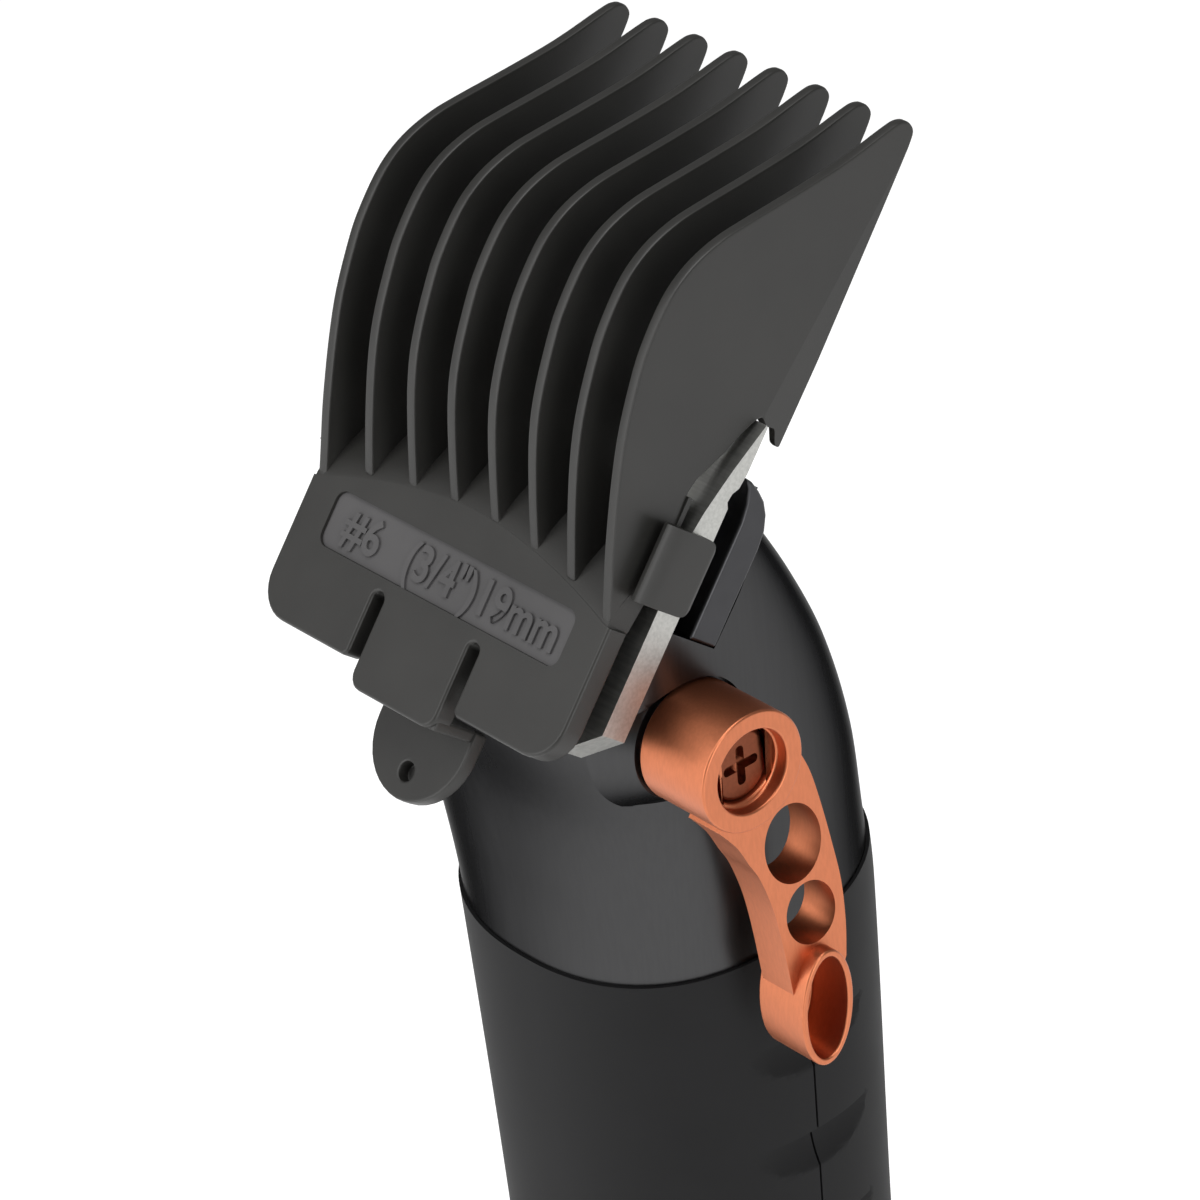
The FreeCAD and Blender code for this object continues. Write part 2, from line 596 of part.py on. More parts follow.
def section(height, grow):
    """A closed smooth section of the handle, moved outwards by grow."""
    half = station_value("half", height) + grow
    front = station_value("front", height) - grow
    back = station_value("back", height) + grow
    power = 2 / station_value("square", height)
    points = []
    for k in range(32):
        turn = math.tau * k / 32
        c, s = math.cos(turn), math.sin(turn)
        x = half * math.copysign(abs(c) ** power, c)
        y = (front + back) / 2 + (back - front) / 2 * math.copysign(abs(s) ** power, s)
        points.append(Vector(x, y, height))
    curve = Part.BSplineCurve()
    curve.interpolate(Points=points, PeriodicFlag=True)
    return Part.Wire([curve.toShape()])


def handle_loft(low, high, grow, spacing=7.0):
    count = max(2, round((high - low) / spacing))
    wires = [section(low + (high - low) * k / count, grow) for k in range(count + 1)]
    return Part.makeLoft(wires, True, False)


def rim_box(above):
    """Everything above, or below, the slanted rim where the head shell meets the grip."""
    box = Part.makeBox(120, 120, 80, Vector(-60, 0, 0 if above else -80))
    box.Placement = Placement(Vector(0, size("collar_front"), size("rim_front_z")),
                              Rotation(Vector(1, 0, 0), size("rim_slope")),
                              Vector(0, 0, 0)).multiply(Placement(Vector(0, -30, 0), Rotation()))
    return box


def make_head_housing():
    low = size("spigot_low")
    outer = handle_loft(low, 166, 0.0).cut(rim_box(above=False))
    spigot = handle_loft(low, 119, -size("spigot_gap"))
    y, z = size("lever_y"), size("lever_z")
    boss = Part.makeCylinder(size("boss_core"), size("boss_face") - size("boss_inner"),
                             Vector(size("boss_inner"), y, z), Vector(1, 0, 0))
    inside_low = handle_loft(low - 1, 122, -size("spigot_gap") - size("spigot_wall"))
    inside_high = handle_loft(121.9, 166, -size("wall"))
    solid = outer.fuse(spigot).cut([inside_low, inside_high])
    keep = handle_loft(low, 166, 0.0)
    solid = solid.fuse(boss.common(keep))
    recess = Part.makeCylinder(size("boss_radius"), 9, Vector(size("boss_face"), y, z), Vector(1, 0, 0))
    bore = Part.makeCylinder(size("bush_radius"), 12, Vector(14, y, z), Vector(1, 0, 0))
    seat = Part.makeBox(70, 90, 60, Vector(-35, size("cheek_low") - 0.1, size("cheek_back") - 0.05))
    mouth = Part.makeBox(70, 60, 60, Vector(-35, size("cheek_low") - 60, size("fixed_back") - 0.03))
    solid = solid.cut([recess, bore, placed(seat), placed(mouth)])
    node(shaped("head_shell", largest(solid)), "head_housing")


def placed(shape):
    shape.Placement = BLADE
    return shape


def largest(shape):
    return max(shape.Solids, key=lambda solid: solid.Volume)


def make_grips():
    low, proud = size("grip_low"), size("grip_proud")
    sleeve = handle_loft(low, 120, proud, 9.0).cut(handle_loft(low - 1, 121, -size("grip_wall"), 9.0))
    sleeve = sleeve.cut(rim_box(above=True))
    gap = size("split_gap")
    x = size("grip_screw_x")
    heights = (size("grip_screw_low"), size("grip_screw_high"))
    hull = handle_loft(low, 108, -0.5, 9.0)
    bosses, pilots, clearances = [], [], []
    for sign in (-1, 1):
        for height in heights:
            bosses.append(Part.makeCylinder(2.5, 60, Vector(sign * x, -30, height), Vector(0, 1, 0)))
            pilots.append(Part.makeCylinder(1.2, 40, Vector(sign * x, -9.5, height), Vector(0, 1, 0)))
            clearances.append(Part.makeCylinder(1.3, 60, Vector(sign * x, -1, height), Vector(0, 1, 0)))
            clearances.append(Part.makeCylinder(2.3, 20, Vector(sign * x, 8.2, height), Vector(0, 1, 0)))
    sleeve = sleeve.fuse([boss.common(hull) for boss in bosses])
    front = sleeve.common(Part.makeBox(80, 60, 140, Vector(-40, -60 - gap, -5))).cut(pilots)
    rear = sleeve.common(Part.makeBox(80, 60, 140, Vector(-40, gap, -5))).cut(clearances)

    switch, travel = size("switch_z"), size("switch_travel")
    pocket_face = size("waist_front") + 0.6
    track = Part.makeBox(13, 10, 26, Vector(-6.5, pocket_face - 10, switch - 10))
    window = Part.makeBox(5.4, 10, 9.4 + travel, Vector(-2.7, pocket_face - 5, switch - 4.7))
    lamp = Part.makeCylinder(1.6, 20, Vector(0, -25, size("lamp_z")), Vector(0, 1, 0))
    front = front.cut([track, window, lamp])
    node(shaped("front_half", largest(front)), "grip_front")
    node(shaped("rear_half", largest(rear)), "grip_rear")

    solids = []
    for sign in (-1, 1):
        for height in heights:
            name = f"{'left' if sign < 0 else 'right'}_{int(height)}"
            across = (f"{sign} * grip_screw_x", f"{height}")
            head = rod(f"grip_screw_head_{name}", "2.1", "8.2", "9.9", across, "y")
            shank = rod(f"grip_screw_shank_{name}", "1.15", "-9", "8.2", across, "y")
            solids.append(fuse(f"grip_screw_{name}", head, shank))
    node(group("grip_screw_set", solids), "grip_screws")

    gap_out, gap_in = size("grip_wall"), size("spigot_gap")
    ring = handle_loft(102, 104, -gap_out - 0.02).cut(handle_loft(101, 105, -gap_in + 0.02))
    node(shaped("gasket_ring", ring), "head_gasket")


def make_power_slider():
    front = size("waist_front") + 0.6
    switch = size("switch_z")
    cap = Part.makeBox(10, 1.6, 14, Vector(-5, front - 1.8, switch - 7))
    cap = cap.makeFillet(0.7, [e for e in cap.Edges if e.BoundBox.YMax < front - 1.7])
    ridges = [Part.makeCylinder(0.5, 7, Vector(-3.5, front - 1.8, switch - 3 + 2 * k), Vector(1, 0, 0))
              for k in range(4)]
    stem = Part.makeBox(4.8, 5.6, 8.8, Vector(-2.4, front - 0.5, switch - 4.4))
    node(shaped("slider_body", cap.fuse(ridges + [stem]).removeSplitter()), "power_slider")

    pipe = Part.makeCylinder(1.5, 7.6, Vector(0, -17.5, size("lamp_z")), Vector(0, 1, 0))
    node(shaped("lamp_pipe", pipe), "light_pipe")


def make_end_cap():
    low = size("grip_low") - 0.12
    proud, bevel = size("grip_proud"), size("cap_bevel")
    foot = Part.makeLoft([section(0, proud - bevel), section(bevel, proud)], True, True)
    cup = handle_loft(bevel, low, proud, 3.0).fuse(foot)
    cup = cup.cut(handle_loft(size("grip_wall"), low + 2, -size("grip_wall"), 3.0))
    hole = Part.makeCylinder(size("socket_radius") + 0.1, 10, Vector(0, 0, -1))
    screws = []
    for sign in (-1, 1):
        at = Vector(sign * size("cap_screw_x"), size("cap_screw_y"), -1)
        screws.append(Part.makeCylinder(1.6, 10, at))
        screws.append(Part.makeCylinder(2.7, 2.2, at))
    node(shaped("cap_shell", cup.cut([hole] + screws)), "end_cap")

    solids = []
    for k, sign in enumerate((-1, 1)):
        across = (f"{sign} * cap_screw_x", "cap_screw_y")
        head = rod(f"cap_screw_head_{k}", "2.5", "0.4", "1.2", across)
        shank = rod(f"cap_screw_shank_{k}", "1.4", "1.2", "14", across)
        solids.append(fuse(f"cap_screw_{k}", head, shank))
    node(group("cap_screw_pair", solids), "end_cap_screws")

    barrel = rod("socket_barrel", "socket_radius", "jack_low - 0.5", "jack_high + 1.2", ("0", "0"))
    jack = rod("socket_jack", "jack_radius", "jack_low - 2", "jack_high", ("0", "0"))
    node(cut("socket", barrel, jack), "charge_socket")


# ---------------------------------------------------------------- inside

def make_chassis():
    rail = block("chassis_rail", ("-rail_half", "rail_front", "rail_low"),
                 ("rail_half", "rail_back", "rail_high"))
    top = block("chassis_top", ("-rail_half", "rail_front", "rail_high - 2.5"),
                ("rail_half", "shelf_back", "rail_high"))
    foot = block("chassis_foot", ("-rail_half", "rail_front", "rail_low"),
                 ("rail_half", "shelf_back", "rail_low + 2.5"))
    frame = fuse("chassis_frame", rail, top, foot)
    holes = [rod(f"chassis_hole_{k}", "1.4", "rail_low - 1", "rail_low + 4",
                 (f"{sign} * cap_screw_x", "cap_screw_y")) for k, sign in enumerate((-1, 1))]
    node(cut("chassis_body", frame, *holes), "chassis")

    node(rod("cell", "cell_radius", "cell_low", "cell_high", ("0", "cell_y")), "battery_cell")
    tabs = [
        block("tab_low", ("-3", "cell_y - 6", "cell_low - 0.4"), ("3", "cell_y + 6", "cell_low")),
        block("tab_high", ("-3", "cell_y - 6", "cell_high"), ("3", "cell_y + 6", "cell_high + 0.4")),
    ]
    node(group("tab_pair", tabs), "battery_tabs")

    board = block("board", ("-rail_half", "board_front", "board_low"),
                  ("rail_half", "board_back", "board_high"))
    node(board, "circuit_board")
    switch = block("switch_case", ("-3.5", "board_front - 1.2", "switch_z - 6"),
                   ("3.5", "board_front", "switch_z + 12"))
    node(switch, "switch_body")


def make_motor():
    can = rod("motor_shell", "motor_radius", "motor_low", "motor_high", ("0", "0"))
    boss = rod("motor_nose", "motor_boss", "motor_high", "motor_high + 2.2", ("0", "0"))
    bore = rod("motor_bore", "spindle_radius + fit_gap", "motor_high - 3", "motor_high + 4", ("0", "0"))
    holes = [rod(f"motor_hole_{k}", "1.25", "motor_high - 4", "motor_high + 1",
                 (f"{sign} * motor_screw_x", "0")) for k, sign in enumerate((-1, 1))]
    node(cut("motor_case", fuse("motor_blank", can, boss), bore, *holes), "motor_can")

    plate = rod("motor_plate_disc", "motor_radius + 0.3", "motor_high", "motor_high + 2", ("0", "0"))
    opening = rod("motor_plate_bore", "motor_boss", "motor_high - 1", "motor_high + 3", ("0", "0"))
    clear = [rod(f"motor_plate_hole_{k}", "1.35", "motor_high - 1", "motor_high + 3",
                 (f"{sign} * motor_screw_x", "0")) for k, sign in enumerate((-1, 1))]
    node(cut("motor_plate_body", plate, opening, *clear), "motor_plate")

    solids = []
    for k, sign in enumerate((-1, 1)):
        across = (f"{sign} * motor_screw_x", "0")
        head = rod(f"motor_screw_head_{k}", "2.2", "motor_high + 2", "motor_high + 3.5", across)
        shank = rod(f"motor_screw_shank_{k}", "1.2", "motor_high - 3.5", "motor_high + 2", across)
        solids.append(fuse(f"motor_screw_{k}", head, shank))
    node(group("motor_screw_pair", solids), "motor_screws")

    rubber = rod("damper_outer", "13.5", "106", "116", ("0", "0"))
    inner = rod("damper_inner", "motor_radius", "105", "117", ("0", "0"))
    node(cut("damper", rubber, inner), "motor_damper")

    node(rod("spindle", "spindle_radius", "motor_high - 2.6", "hub_high - 1", ("0", "0")), "motor_shaft")
    drum = rod("eccentric_drum", "drum_radius", "hub_low", "hub_high", ("0", "0"))
    pin = rod("eccentric_pin", "pin_radius", "hub_high - 0.2", "pin_high", ("0", "throw"))
    socket = rod("eccentric_socket", "spindle_radius", "hub_low - 1", "hub_high - 1", ("0", "0"))
    node(cut("eccentric", fuse("eccentric_blank", drum, pin), socket), "eccentric_hub")
    race = rod("race_outer", "race_radius", "hub_high + 1.1", "pin_high - 0.3", ("0", "throw"))
    hole = rod("race_inner", "pin_radius", "hub_high", "pin_high", ("0", "throw"))
    node(cut("race", race, hole), "eccentric_bearing")


make_guard_comb()
make_blades()
make_blade_mount()
make_blade_screws()
make_adjuster()
make_drive_fork()
make_lever()
make_lever_fittings()
make_head_housing()
make_grips()
make_power_slider()
make_end_cap()
make_chassis()
make_motor()
doc.recompute()

for thing in doc.Objects:
    if "Invalid" in thing.State or "Error" in thing.State:
        raise RuntimeError(f"{thing.Label}: {thing.State}")

os.makedirs("parts", exist_ok=True)
for piece in nodes:
    shape = piece.Shape
    if shape.isNull() or not shape.isValid() or not shape.Solids:
        raise RuntimeError(piece.Label + " is not a valid solid")
    shape.exportStep(f"parts/{piece.Label}.step")
    print(f"{piece.Label:20s} {len(shape.Solids)} solid(s), {shape.Volume / 1000:8.3f} cm3")
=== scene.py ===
# %% [markdown]
# # A hair clipper, piece by piece
#
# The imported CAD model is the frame: it fixes every size and every joint. This lesson puts finished
# pieces around it. A CAD piece that already has its shape only gets a finish; the ones that a hand
# touches or an eye rests on (guard, blade, head, grip and lever) are modelled again with soft edges.

# %% Load the frame and note its box
import json
import math

import bpy
from mathutils import Matrix, Vector


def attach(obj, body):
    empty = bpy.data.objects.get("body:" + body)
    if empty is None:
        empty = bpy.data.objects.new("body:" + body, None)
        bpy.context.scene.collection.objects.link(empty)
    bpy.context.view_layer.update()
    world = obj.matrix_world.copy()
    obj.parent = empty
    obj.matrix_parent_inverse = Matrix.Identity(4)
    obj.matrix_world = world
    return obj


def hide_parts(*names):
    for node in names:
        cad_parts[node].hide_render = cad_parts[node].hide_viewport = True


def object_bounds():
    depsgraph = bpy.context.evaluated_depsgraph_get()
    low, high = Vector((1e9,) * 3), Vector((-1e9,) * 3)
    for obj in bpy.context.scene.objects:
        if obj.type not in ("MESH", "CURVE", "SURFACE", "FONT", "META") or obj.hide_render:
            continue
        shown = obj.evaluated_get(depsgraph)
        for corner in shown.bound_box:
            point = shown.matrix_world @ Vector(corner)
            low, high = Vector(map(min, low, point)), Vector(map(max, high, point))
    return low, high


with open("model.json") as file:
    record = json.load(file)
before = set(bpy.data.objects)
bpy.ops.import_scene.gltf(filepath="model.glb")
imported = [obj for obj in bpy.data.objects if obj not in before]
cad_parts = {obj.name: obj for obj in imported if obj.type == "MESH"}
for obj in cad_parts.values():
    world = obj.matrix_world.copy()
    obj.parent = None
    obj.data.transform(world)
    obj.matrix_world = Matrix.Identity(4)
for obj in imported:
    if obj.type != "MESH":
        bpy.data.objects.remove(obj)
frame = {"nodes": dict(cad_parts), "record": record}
MM = 0.001
cad_box = [list(corner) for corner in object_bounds()]
print("CAD box, mm:", [[round(c / MM, 1) for c in corner] for corner in cad_box])

# %% [markdown]
# ## The camera
#
# The clipper is seen from its lever side, a little from in front and from above, rolled by a few
# degrees so that the handle leans. A long lens keeps the ribs of the guard nearly parallel. The camera
# is placed by three directions: what is right, what is up, and what lies behind it.

# %% Place the camera
CAMERA_AT = Vector((0.39460, -0.30592, 0.43854))
CAMERA_RIGHT = Vector((0.64708, 0.75676, -0.09275))
CAMERA_UP = Vector((-0.33701, 0.39303, 0.85554))
LENS_MM = 180.0

bpy.ops.object.camera_add(location=CAMERA_AT)
camera = bpy.context.object
camera.name = "studio_camera"
turn = Matrix((CAMERA_RIGHT, CAMERA_UP, CAMERA_RIGHT.cross(CAMERA_UP))).transposed()
camera.rotation_euler = turn.to_euler()
camera.data.sensor_width = 36.0
camera.data.lens = LENS_MM
camera.data.clip_start = 0.01
bpy.context.scene.camera = camera
print("camera looks from", tuple(round(c, 3) for c in camera.location))

# %% [markdown]
# ## Floor and light
#
# A pale floor far larger than the clipper, a dim world, and four soft area lamps. The floor glows a
# little of its own, so it stays nearly white while the black plastic is kept dark: a bright world would
# wash out every black surface. The key lamp stands in front, away from the lever, and lights the plate
# of the guard; the side lamp lights the lever and the outer face of the last rib; the low fill lamp
# reaches under the guard; the top lamp draws the crests of the ribs.

# %% Build the studio
WORLD_GREY = 0.24
FLOOR_GLOW = 0.42
FLOOR_SIZE = 6.0
LAMPS_AIM_AT = (0, 0, 0.13)
LAMPS = [  # name, place, width, height, watts
    ("key_lamp", (-0.35, -0.80, 0.60), 0.5, 0.9, 4.5),
    ("side_lamp", (0.90, -0.20, 0.40), 0.35, 0.8, 4.0),
    ("fill_lamp", (-0.25, -0.95, 0.10), 0.5, 0.3, 1.2),
    ("top_lamp", (0.05, -0.10, 1.05), 0.7, 0.7, 6.0),
]


def deselect():
    if bpy.context.object and bpy.context.object.mode != "OBJECT":
        bpy.ops.object.mode_set(mode="OBJECT")
    bpy.ops.object.select_all(action="DESELECT")


def area_lamp(name, spot, width, height, watts):
    """A rectangular lamp that looks at the clipper."""
    deselect()
    bpy.ops.object.light_add(type="AREA", location=spot)
    lamp = bpy.context.object
    lamp.name = name
    lamp.data.shape = "RECTANGLE"
    lamp.data.size = width
    lamp.data.size_y = height
    lamp.data.energy = watts
    lamp.rotation_euler = (Vector(LAMPS_AIM_AT) - Vector(spot)).to_track_quat("-Z", "Y").to_euler()


world = bpy.data.worlds.new("studio_world")
world.use_nodes = True
background = world.node_tree.nodes["Background"]
background.inputs["Color"].default_value = (WORLD_GREY, WORLD_GREY, WORLD_GREY, 1)
background.inputs["Strength"].default_value = 1.0
bpy.context.scene.world = world
bpy.context.scene.view_settings.view_transform = "Standard"

for lamp_row in LAMPS:
    area_lamp(*lamp_row)

deselect()
bpy.ops.mesh.primitive_plane_add(size=FLOOR_SIZE, location=(0, 0, cad_box[0][2]))
floor = bpy.context.object
floor.name = "studio_floor"

# %% [markdown]
# ## A way to write finishes
#
# Shader sums read best as plain arithmetic. The small class below wraps a socket of a node, so that
# `1 - mask` or `grain * 0.3 + 0.5` adds the Math nodes it needs, and one method adds any other node.

# %% Socket arithmetic


class Socket:
    def __init__(self, finish, socket):
        self.finish = finish
        self.socket = socket

    def _math(self, operation, first, second):
        return self.finish.node("ShaderNodeMath", {"operation": operation}, {0: first, 1: second})

    def __add__(self, other):
        return self._math("ADD", self, other)

    __radd__ = __add__

    def __sub__(self, other):
        return self._math("SUBTRACT", self, other)

    def __rsub__(self, other):
        return self._math("SUBTRACT", other, self)

    def __mul__(self, other):
        return self._math("MULTIPLY", self, other)

    __rmul__ = __mul__


class Finish:
    """A material under construction: a Principled shader and the nodes that feed it."""

    def __init__(self, name, **constants):
        self.material = bpy.data.materials.new(name)
        self.material.use_nodes = True
        self.tree = self.material.node_tree
        self.shader = self.tree.nodes["Principled BSDF"]
        for key, value in constants.items():
            self.shader.inputs[key.replace("_", " ")].default_value = value
        self.place = self.node("ShaderNodeTexCoord", {}, {}, "Object")

    def node(self, kind, settings, inputs, output=0):
        made = self.tree.nodes.new(kind)
        for key, value in settings.items():
            if key == "stops":
                for stop, (position, shade) in zip(self._stops(made, len(value)), value):
                    stop.position = position
                    stop.color = (*shade, 1) if isinstance(shade, tuple) else (shade, shade, shade, 1)
            else:
                setattr(made, key, value)
        for key, value in inputs.items():
            if isinstance(value, Socket):
                self.tree.links.new(value.socket, made.inputs[key])
            else:
                made.inputs[key].default_value = value
        return Socket(self, made.outputs[output])

    @staticmethod
    def _stops(ramp_node, count):
        elements = ramp_node.color_ramp.elements
        while len(elements) < count:
            elements.new(0.5)
        return elements

    def feed(self, name, value):
        self.tree.links.new(value.socket, self.shader.inputs[name])

    def stretched(self, scale):
        return self.node("ShaderNodeMapping", {}, {"Vector": self.place, "Scale": scale})

    def noise(self, scale, detail=3.0, where=None):
        return self.node("ShaderNodeTexNoise", {}, {"Vector": where or self.place, "Scale": scale,
                                                    "Detail": detail})

    def ramp(self, value, *stops):
        return self.node("ShaderNodeValToRGB", {"stops": stops}, {"Fac": value})

    def bump(self, height, strength, distance):
        self.feed("Normal", self.node("ShaderNodeBump", {}, {"Height": height, "Strength": strength,
                                                             "Distance": distance * MM}))


# %% [markdown]
# ## The finishes
#
# - Guard: nylon moulded in a fine-etched tool, so its faces carry a tight grain and the light breaks
#   up on it; a slow noise keeps large faces from looking printed.
# - Head: black-nickel paint over metal, almost smooth, drawn faintly along the handle.
# - Grip: soft-touch lacquer, very rough, barely any highlight.
# - Lever: copper-coloured satin metal with a fine brushed grain.
# - Blade: ground steel, streaked across its width by the wheel.

# %% Plastics and rubber


def moulded(name, colour, rough, grain_scale, grain_strength, coat=0.0, shine=0.5):
    """Plastic or rubber: a slow change of shade, a fine grain for the light to break on."""
    finish = Finish(name, Coat_Weight=coat, Coat_Roughness=0.35, Specular_IOR_Level=shine)
    slow = finish.noise(120.0, 2.0)
    low = tuple(c * 0.88 for c in colour)
    high = tuple(min(c * 1.12, 1.0) for c in colour)
    finish.feed("Base Color", finish.ramp(slow, (0.3, low), (0.7, high)))
    grain = finish.noise(grain_scale, 2.0)
    finish.feed("Roughness", slow * 0.10 + (rough - 0.05))
    finish.bump(grain, grain_strength, 0.05)
    return finish.material


def metal(name, colour, rough, stretch, streak_scale, streak_depth, spread=1.0):
    """Metal with streaks drawn along one direction; spread says how strong they are."""
    finish = Finish(name, Metallic=1.0)
    where = finish.stretched(stretch)
    streak = finish.noise(streak_scale, 4.0, where)
    low = tuple(c * (1 - 0.10 * spread) for c in colour)
    high = tuple(min(c * (1 + 0.08 * spread), 1.0) for c in colour)
    finish.feed("Base Color", finish.ramp(streak, (0.35, low), (0.65, high)))
    finish.feed("Roughness", streak * (0.12 * spread) + (rough - 0.06 * spread))
    finish.bump(streak, streak_depth, 0.02)
    return finish.material


GUARD_BLACK = moulded("guard_black", (0.019, 0.0185, 0.017), 0.42, 5000.0, 0.14, shine=0.42)
LABEL_GREY = moulded("label_grey", (0.058, 0.056, 0.057), 0.55, 5000.0, 0.12, shine=0.42)
SOFT_BLACK = moulded("soft_black", (0.0085, 0.0085, 0.009), 0.62, 6000.0, 0.12, shine=0.16)
INNER_PLASTIC = moulded("inner_plastic", (0.10, 0.10, 0.11), 0.45, 5000.0, 0.1)
WHITE_PLASTIC = moulded("white_plastic", (0.72, 0.72, 0.68), 0.4, 5000.0, 0.05)
SOCKET_BLACK = moulded("socket_black", (0.02, 0.02, 0.02), 0.3, 5000.0, 0.05)
RUBBER = moulded("damper_rubber", (0.03, 0.03, 0.03), 0.7, 5000.0, 0.1)
CELL_WRAP = moulded("cell_wrap", (0.05, 0.16, 0.36), 0.25, 4000.0, 0.02, coat=0.5)
BOARD_GREEN = moulded("board_green", (0.02, 0.16, 0.07), 0.35, 4000.0, 0.05, coat=0.4)
CLEAR_PLASTIC = moulded("clear_plastic", (0.75, 0.78, 0.80), 0.12, 3000.0, 0.0, coat=0.6)

# %% Metals
COPPER = metal("copper_satin", (0.56, 0.185, 0.090), 0.40, (1, 1, 0.25), 3500.0, 0.02, spread=0.5)
COPPER_DARK = metal("copper_dark", (0.20, 0.06, 0.03), 0.42, (1, 1, 1), 2500.0, 0.06)
GUNMETAL = metal("gunmetal", (0.062, 0.062, 0.063), 0.32, (1, 1, 0.03), 3200.0, 0.008, spread=0.3)
# A dark tint keeps the paint from turning white where it is seen at a grazing angle.
GUNMETAL.node_tree.nodes["Principled BSDF"].inputs["Specular Tint"].default_value = (0.25, 0.25, 0.25, 1)
STEEL = metal("polished_steel", (0.46, 0.46, 0.44), 0.42, (0.08, 1, 1), 3000.0, 0.08)
CUTTER_STEEL = metal("cutter_steel", (0.50, 0.50, 0.52), 0.28, (0.08, 1, 1), 3000.0, 0.08)
MOUNT_GREY = metal("mount_grey", (0.055, 0.055, 0.058), 0.36, (1, 0.3, 0.3), 1500.0, 0.02, spread=0.5)
SCREW_STEEL = metal("screw_steel", (0.45, 0.45, 0.46), 0.3, (1, 1, 1), 2500.0, 0.05)
SPRING_STEEL = metal("spring_steel", (0.6, 0.6, 0.6), 0.25, (1, 1, 0.2), 2500.0, 0.05)
BRASS = metal("brass", (0.75, 0.55, 0.22), 0.25, (1, 1, 1), 2500.0, 0.05)
MOTOR_STEEL = metal("motor_steel", (0.6, 0.61, 0.62), 0.3, (1, 1, 0.3), 2000.0, 0.05)
NICKEL = metal("nickel", (0.72, 0.70, 0.66), 0.2, (1, 1, 1), 2500.0, 0.05)

FLOOR_PALE = Finish("floor_pale", Base_Color=(0.83, 0.83, 0.83, 1), Roughness=0.8).material
floor_shader = FLOOR_PALE.node_tree.nodes["Principled BSDF"]
floor_shader.inputs["Emission Color"].default_value = (1, 1, 1, 1)
floor_shader.inputs["Emission Strength"].default_value = FLOOR_GLOW
floor.data.materials.append(FLOOR_PALE)

# %% [markdown]
# ## Giving the CAD pieces their finish
#
# Every slot of the record has one finish here. The nodes keep their meshes; only their material slot
# changes.

# %% Finish by slot
BY_SLOT = {
    "guard_black": GUARD_BLACK, "polished_steel": STEEL, "cutter_steel": CUTTER_STEEL,
    "mount_grey": MOUNT_GREY, "gunmetal": GUNMETAL, "soft_black": SOFT_BLACK,
    "copper_satin": COPPER, "inner_plastic": INNER_PLASTIC, "white_plastic": WHITE_PLASTIC,
    "spring_steel": SPRING_STEEL, "screw_steel": SCREW_STEEL, "brass": BRASS,
    "motor_steel": MOTOR_STEEL, "damper_rubber": RUBBER, "cell_wrap": CELL_WRAP,
    "nickel": NICKEL, "board_green": BOARD_GREEN, "clear_plastic": CLEAR_PLASTIC,
    "socket_black": SOCKET_BLACK,
}

for part in frame["record"]["subparts"]:
    cad = frame["nodes"][part["node"]]
    cad.data.materials.clear()
    cad.data.materials.append(BY_SLOT[part["material_slot"]])

# %% [markdown]
# ## Bench tools
#
# The few moves that every piece needs: start from a primitive, cut with another piece, join, soften
# the edges with a bevel, and lay a finished piece in place. All new pieces are drawn in millimetres
# in their own frame and brought to metres once, at the end, so the numbers stay readable.

# %% Modelling helpers


def box_mm(name, low, high):
    deselect()
    centre = [(a + b) / 2 for a, b in zip(low, high)]
    bpy.ops.mesh.primitive_cube_add(size=1.0, location=centre)
    piece = bpy.context.object
    piece.name = name
    piece.scale = [b - a for a, b in zip(low, high)]
    settle(piece)
    return piece


def rod_mm(name, radius, start, end, sides=64):
    """A cylinder between two points."""
    deselect()
    start, end = Vector(start), Vector(end)
    bpy.ops.mesh.primitive_cylinder_add(vertices=sides, radius=radius, depth=(end - start).length,
                                        location=(start + end) / 2)
    piece = bpy.context.object
    piece.name = name
    piece.rotation_euler = (end - start).to_track_quat("Z", "Y").to_euler()
    settle(piece)
    return piece


def settle(piece):
    """Moves an object's place into its mesh."""
    deselect()
    piece.select_set(True)
    bpy.context.view_layer.objects.active = piece
    bpy.ops.object.transform_apply(location=True, rotation=True, scale=True)


def apply_modifier(piece, kind, **settings):
    deselect()
    piece.select_set(True)
    bpy.context.view_layer.objects.active = piece
    modifier = piece.modifiers.new(kind.lower(), kind)
    for key, value in settings.items():
        setattr(modifier, key, value)
    bpy.ops.object.modifier_apply(modifier=modifier.name)
    return piece


def carve(piece, *cutters):
    """Cuts every cutter out of a piece."""
    for cutter in cutters:
        apply_modifier(piece, "BOOLEAN", operation="DIFFERENCE", object=cutter, solver="EXACT")
        bpy.data.objects.remove(cutter)
    return piece


def weld(piece, *others):
    """Joins others to a piece as one solid."""
    for other in others:
        apply_modifier(piece, "BOOLEAN", operation="UNION", object=other, solver="EXACT")
        bpy.data.objects.remove(other)
    return piece


def overlap(piece, room):
    """Keeps what a piece shares with a room."""
    apply_modifier(piece, "BOOLEAN", operation="INTERSECT", object=room, solver="EXACT")
    bpy.data.objects.remove(room)
    return piece


def soften(piece, width, segments=2, angle=35.0):
    """Bevels every edge that is sharper than the angle."""
    apply_modifier(piece, "BEVEL", width=width, segments=segments, limit_method="ANGLE",
                   angle_limit=math.radians(angle), use_clamp_overlap=True)
    return piece


def tidy_mesh(piece):
    """Merges doubles and turns every face outwards."""
    deselect()
    bpy.context.view_layer.objects.active = piece
    piece.select_set(True)
    bpy.ops.object.mode_set(mode="EDIT")
    bpy.ops.mesh.select_all(action="SELECT")
    bpy.ops.mesh.remove_doubles(threshold=0.002)
    bpy.ops.mesh.normals_make_consistent(inside=False)
    bpy.ops.object.mode_set(mode="OBJECT")
    return piece


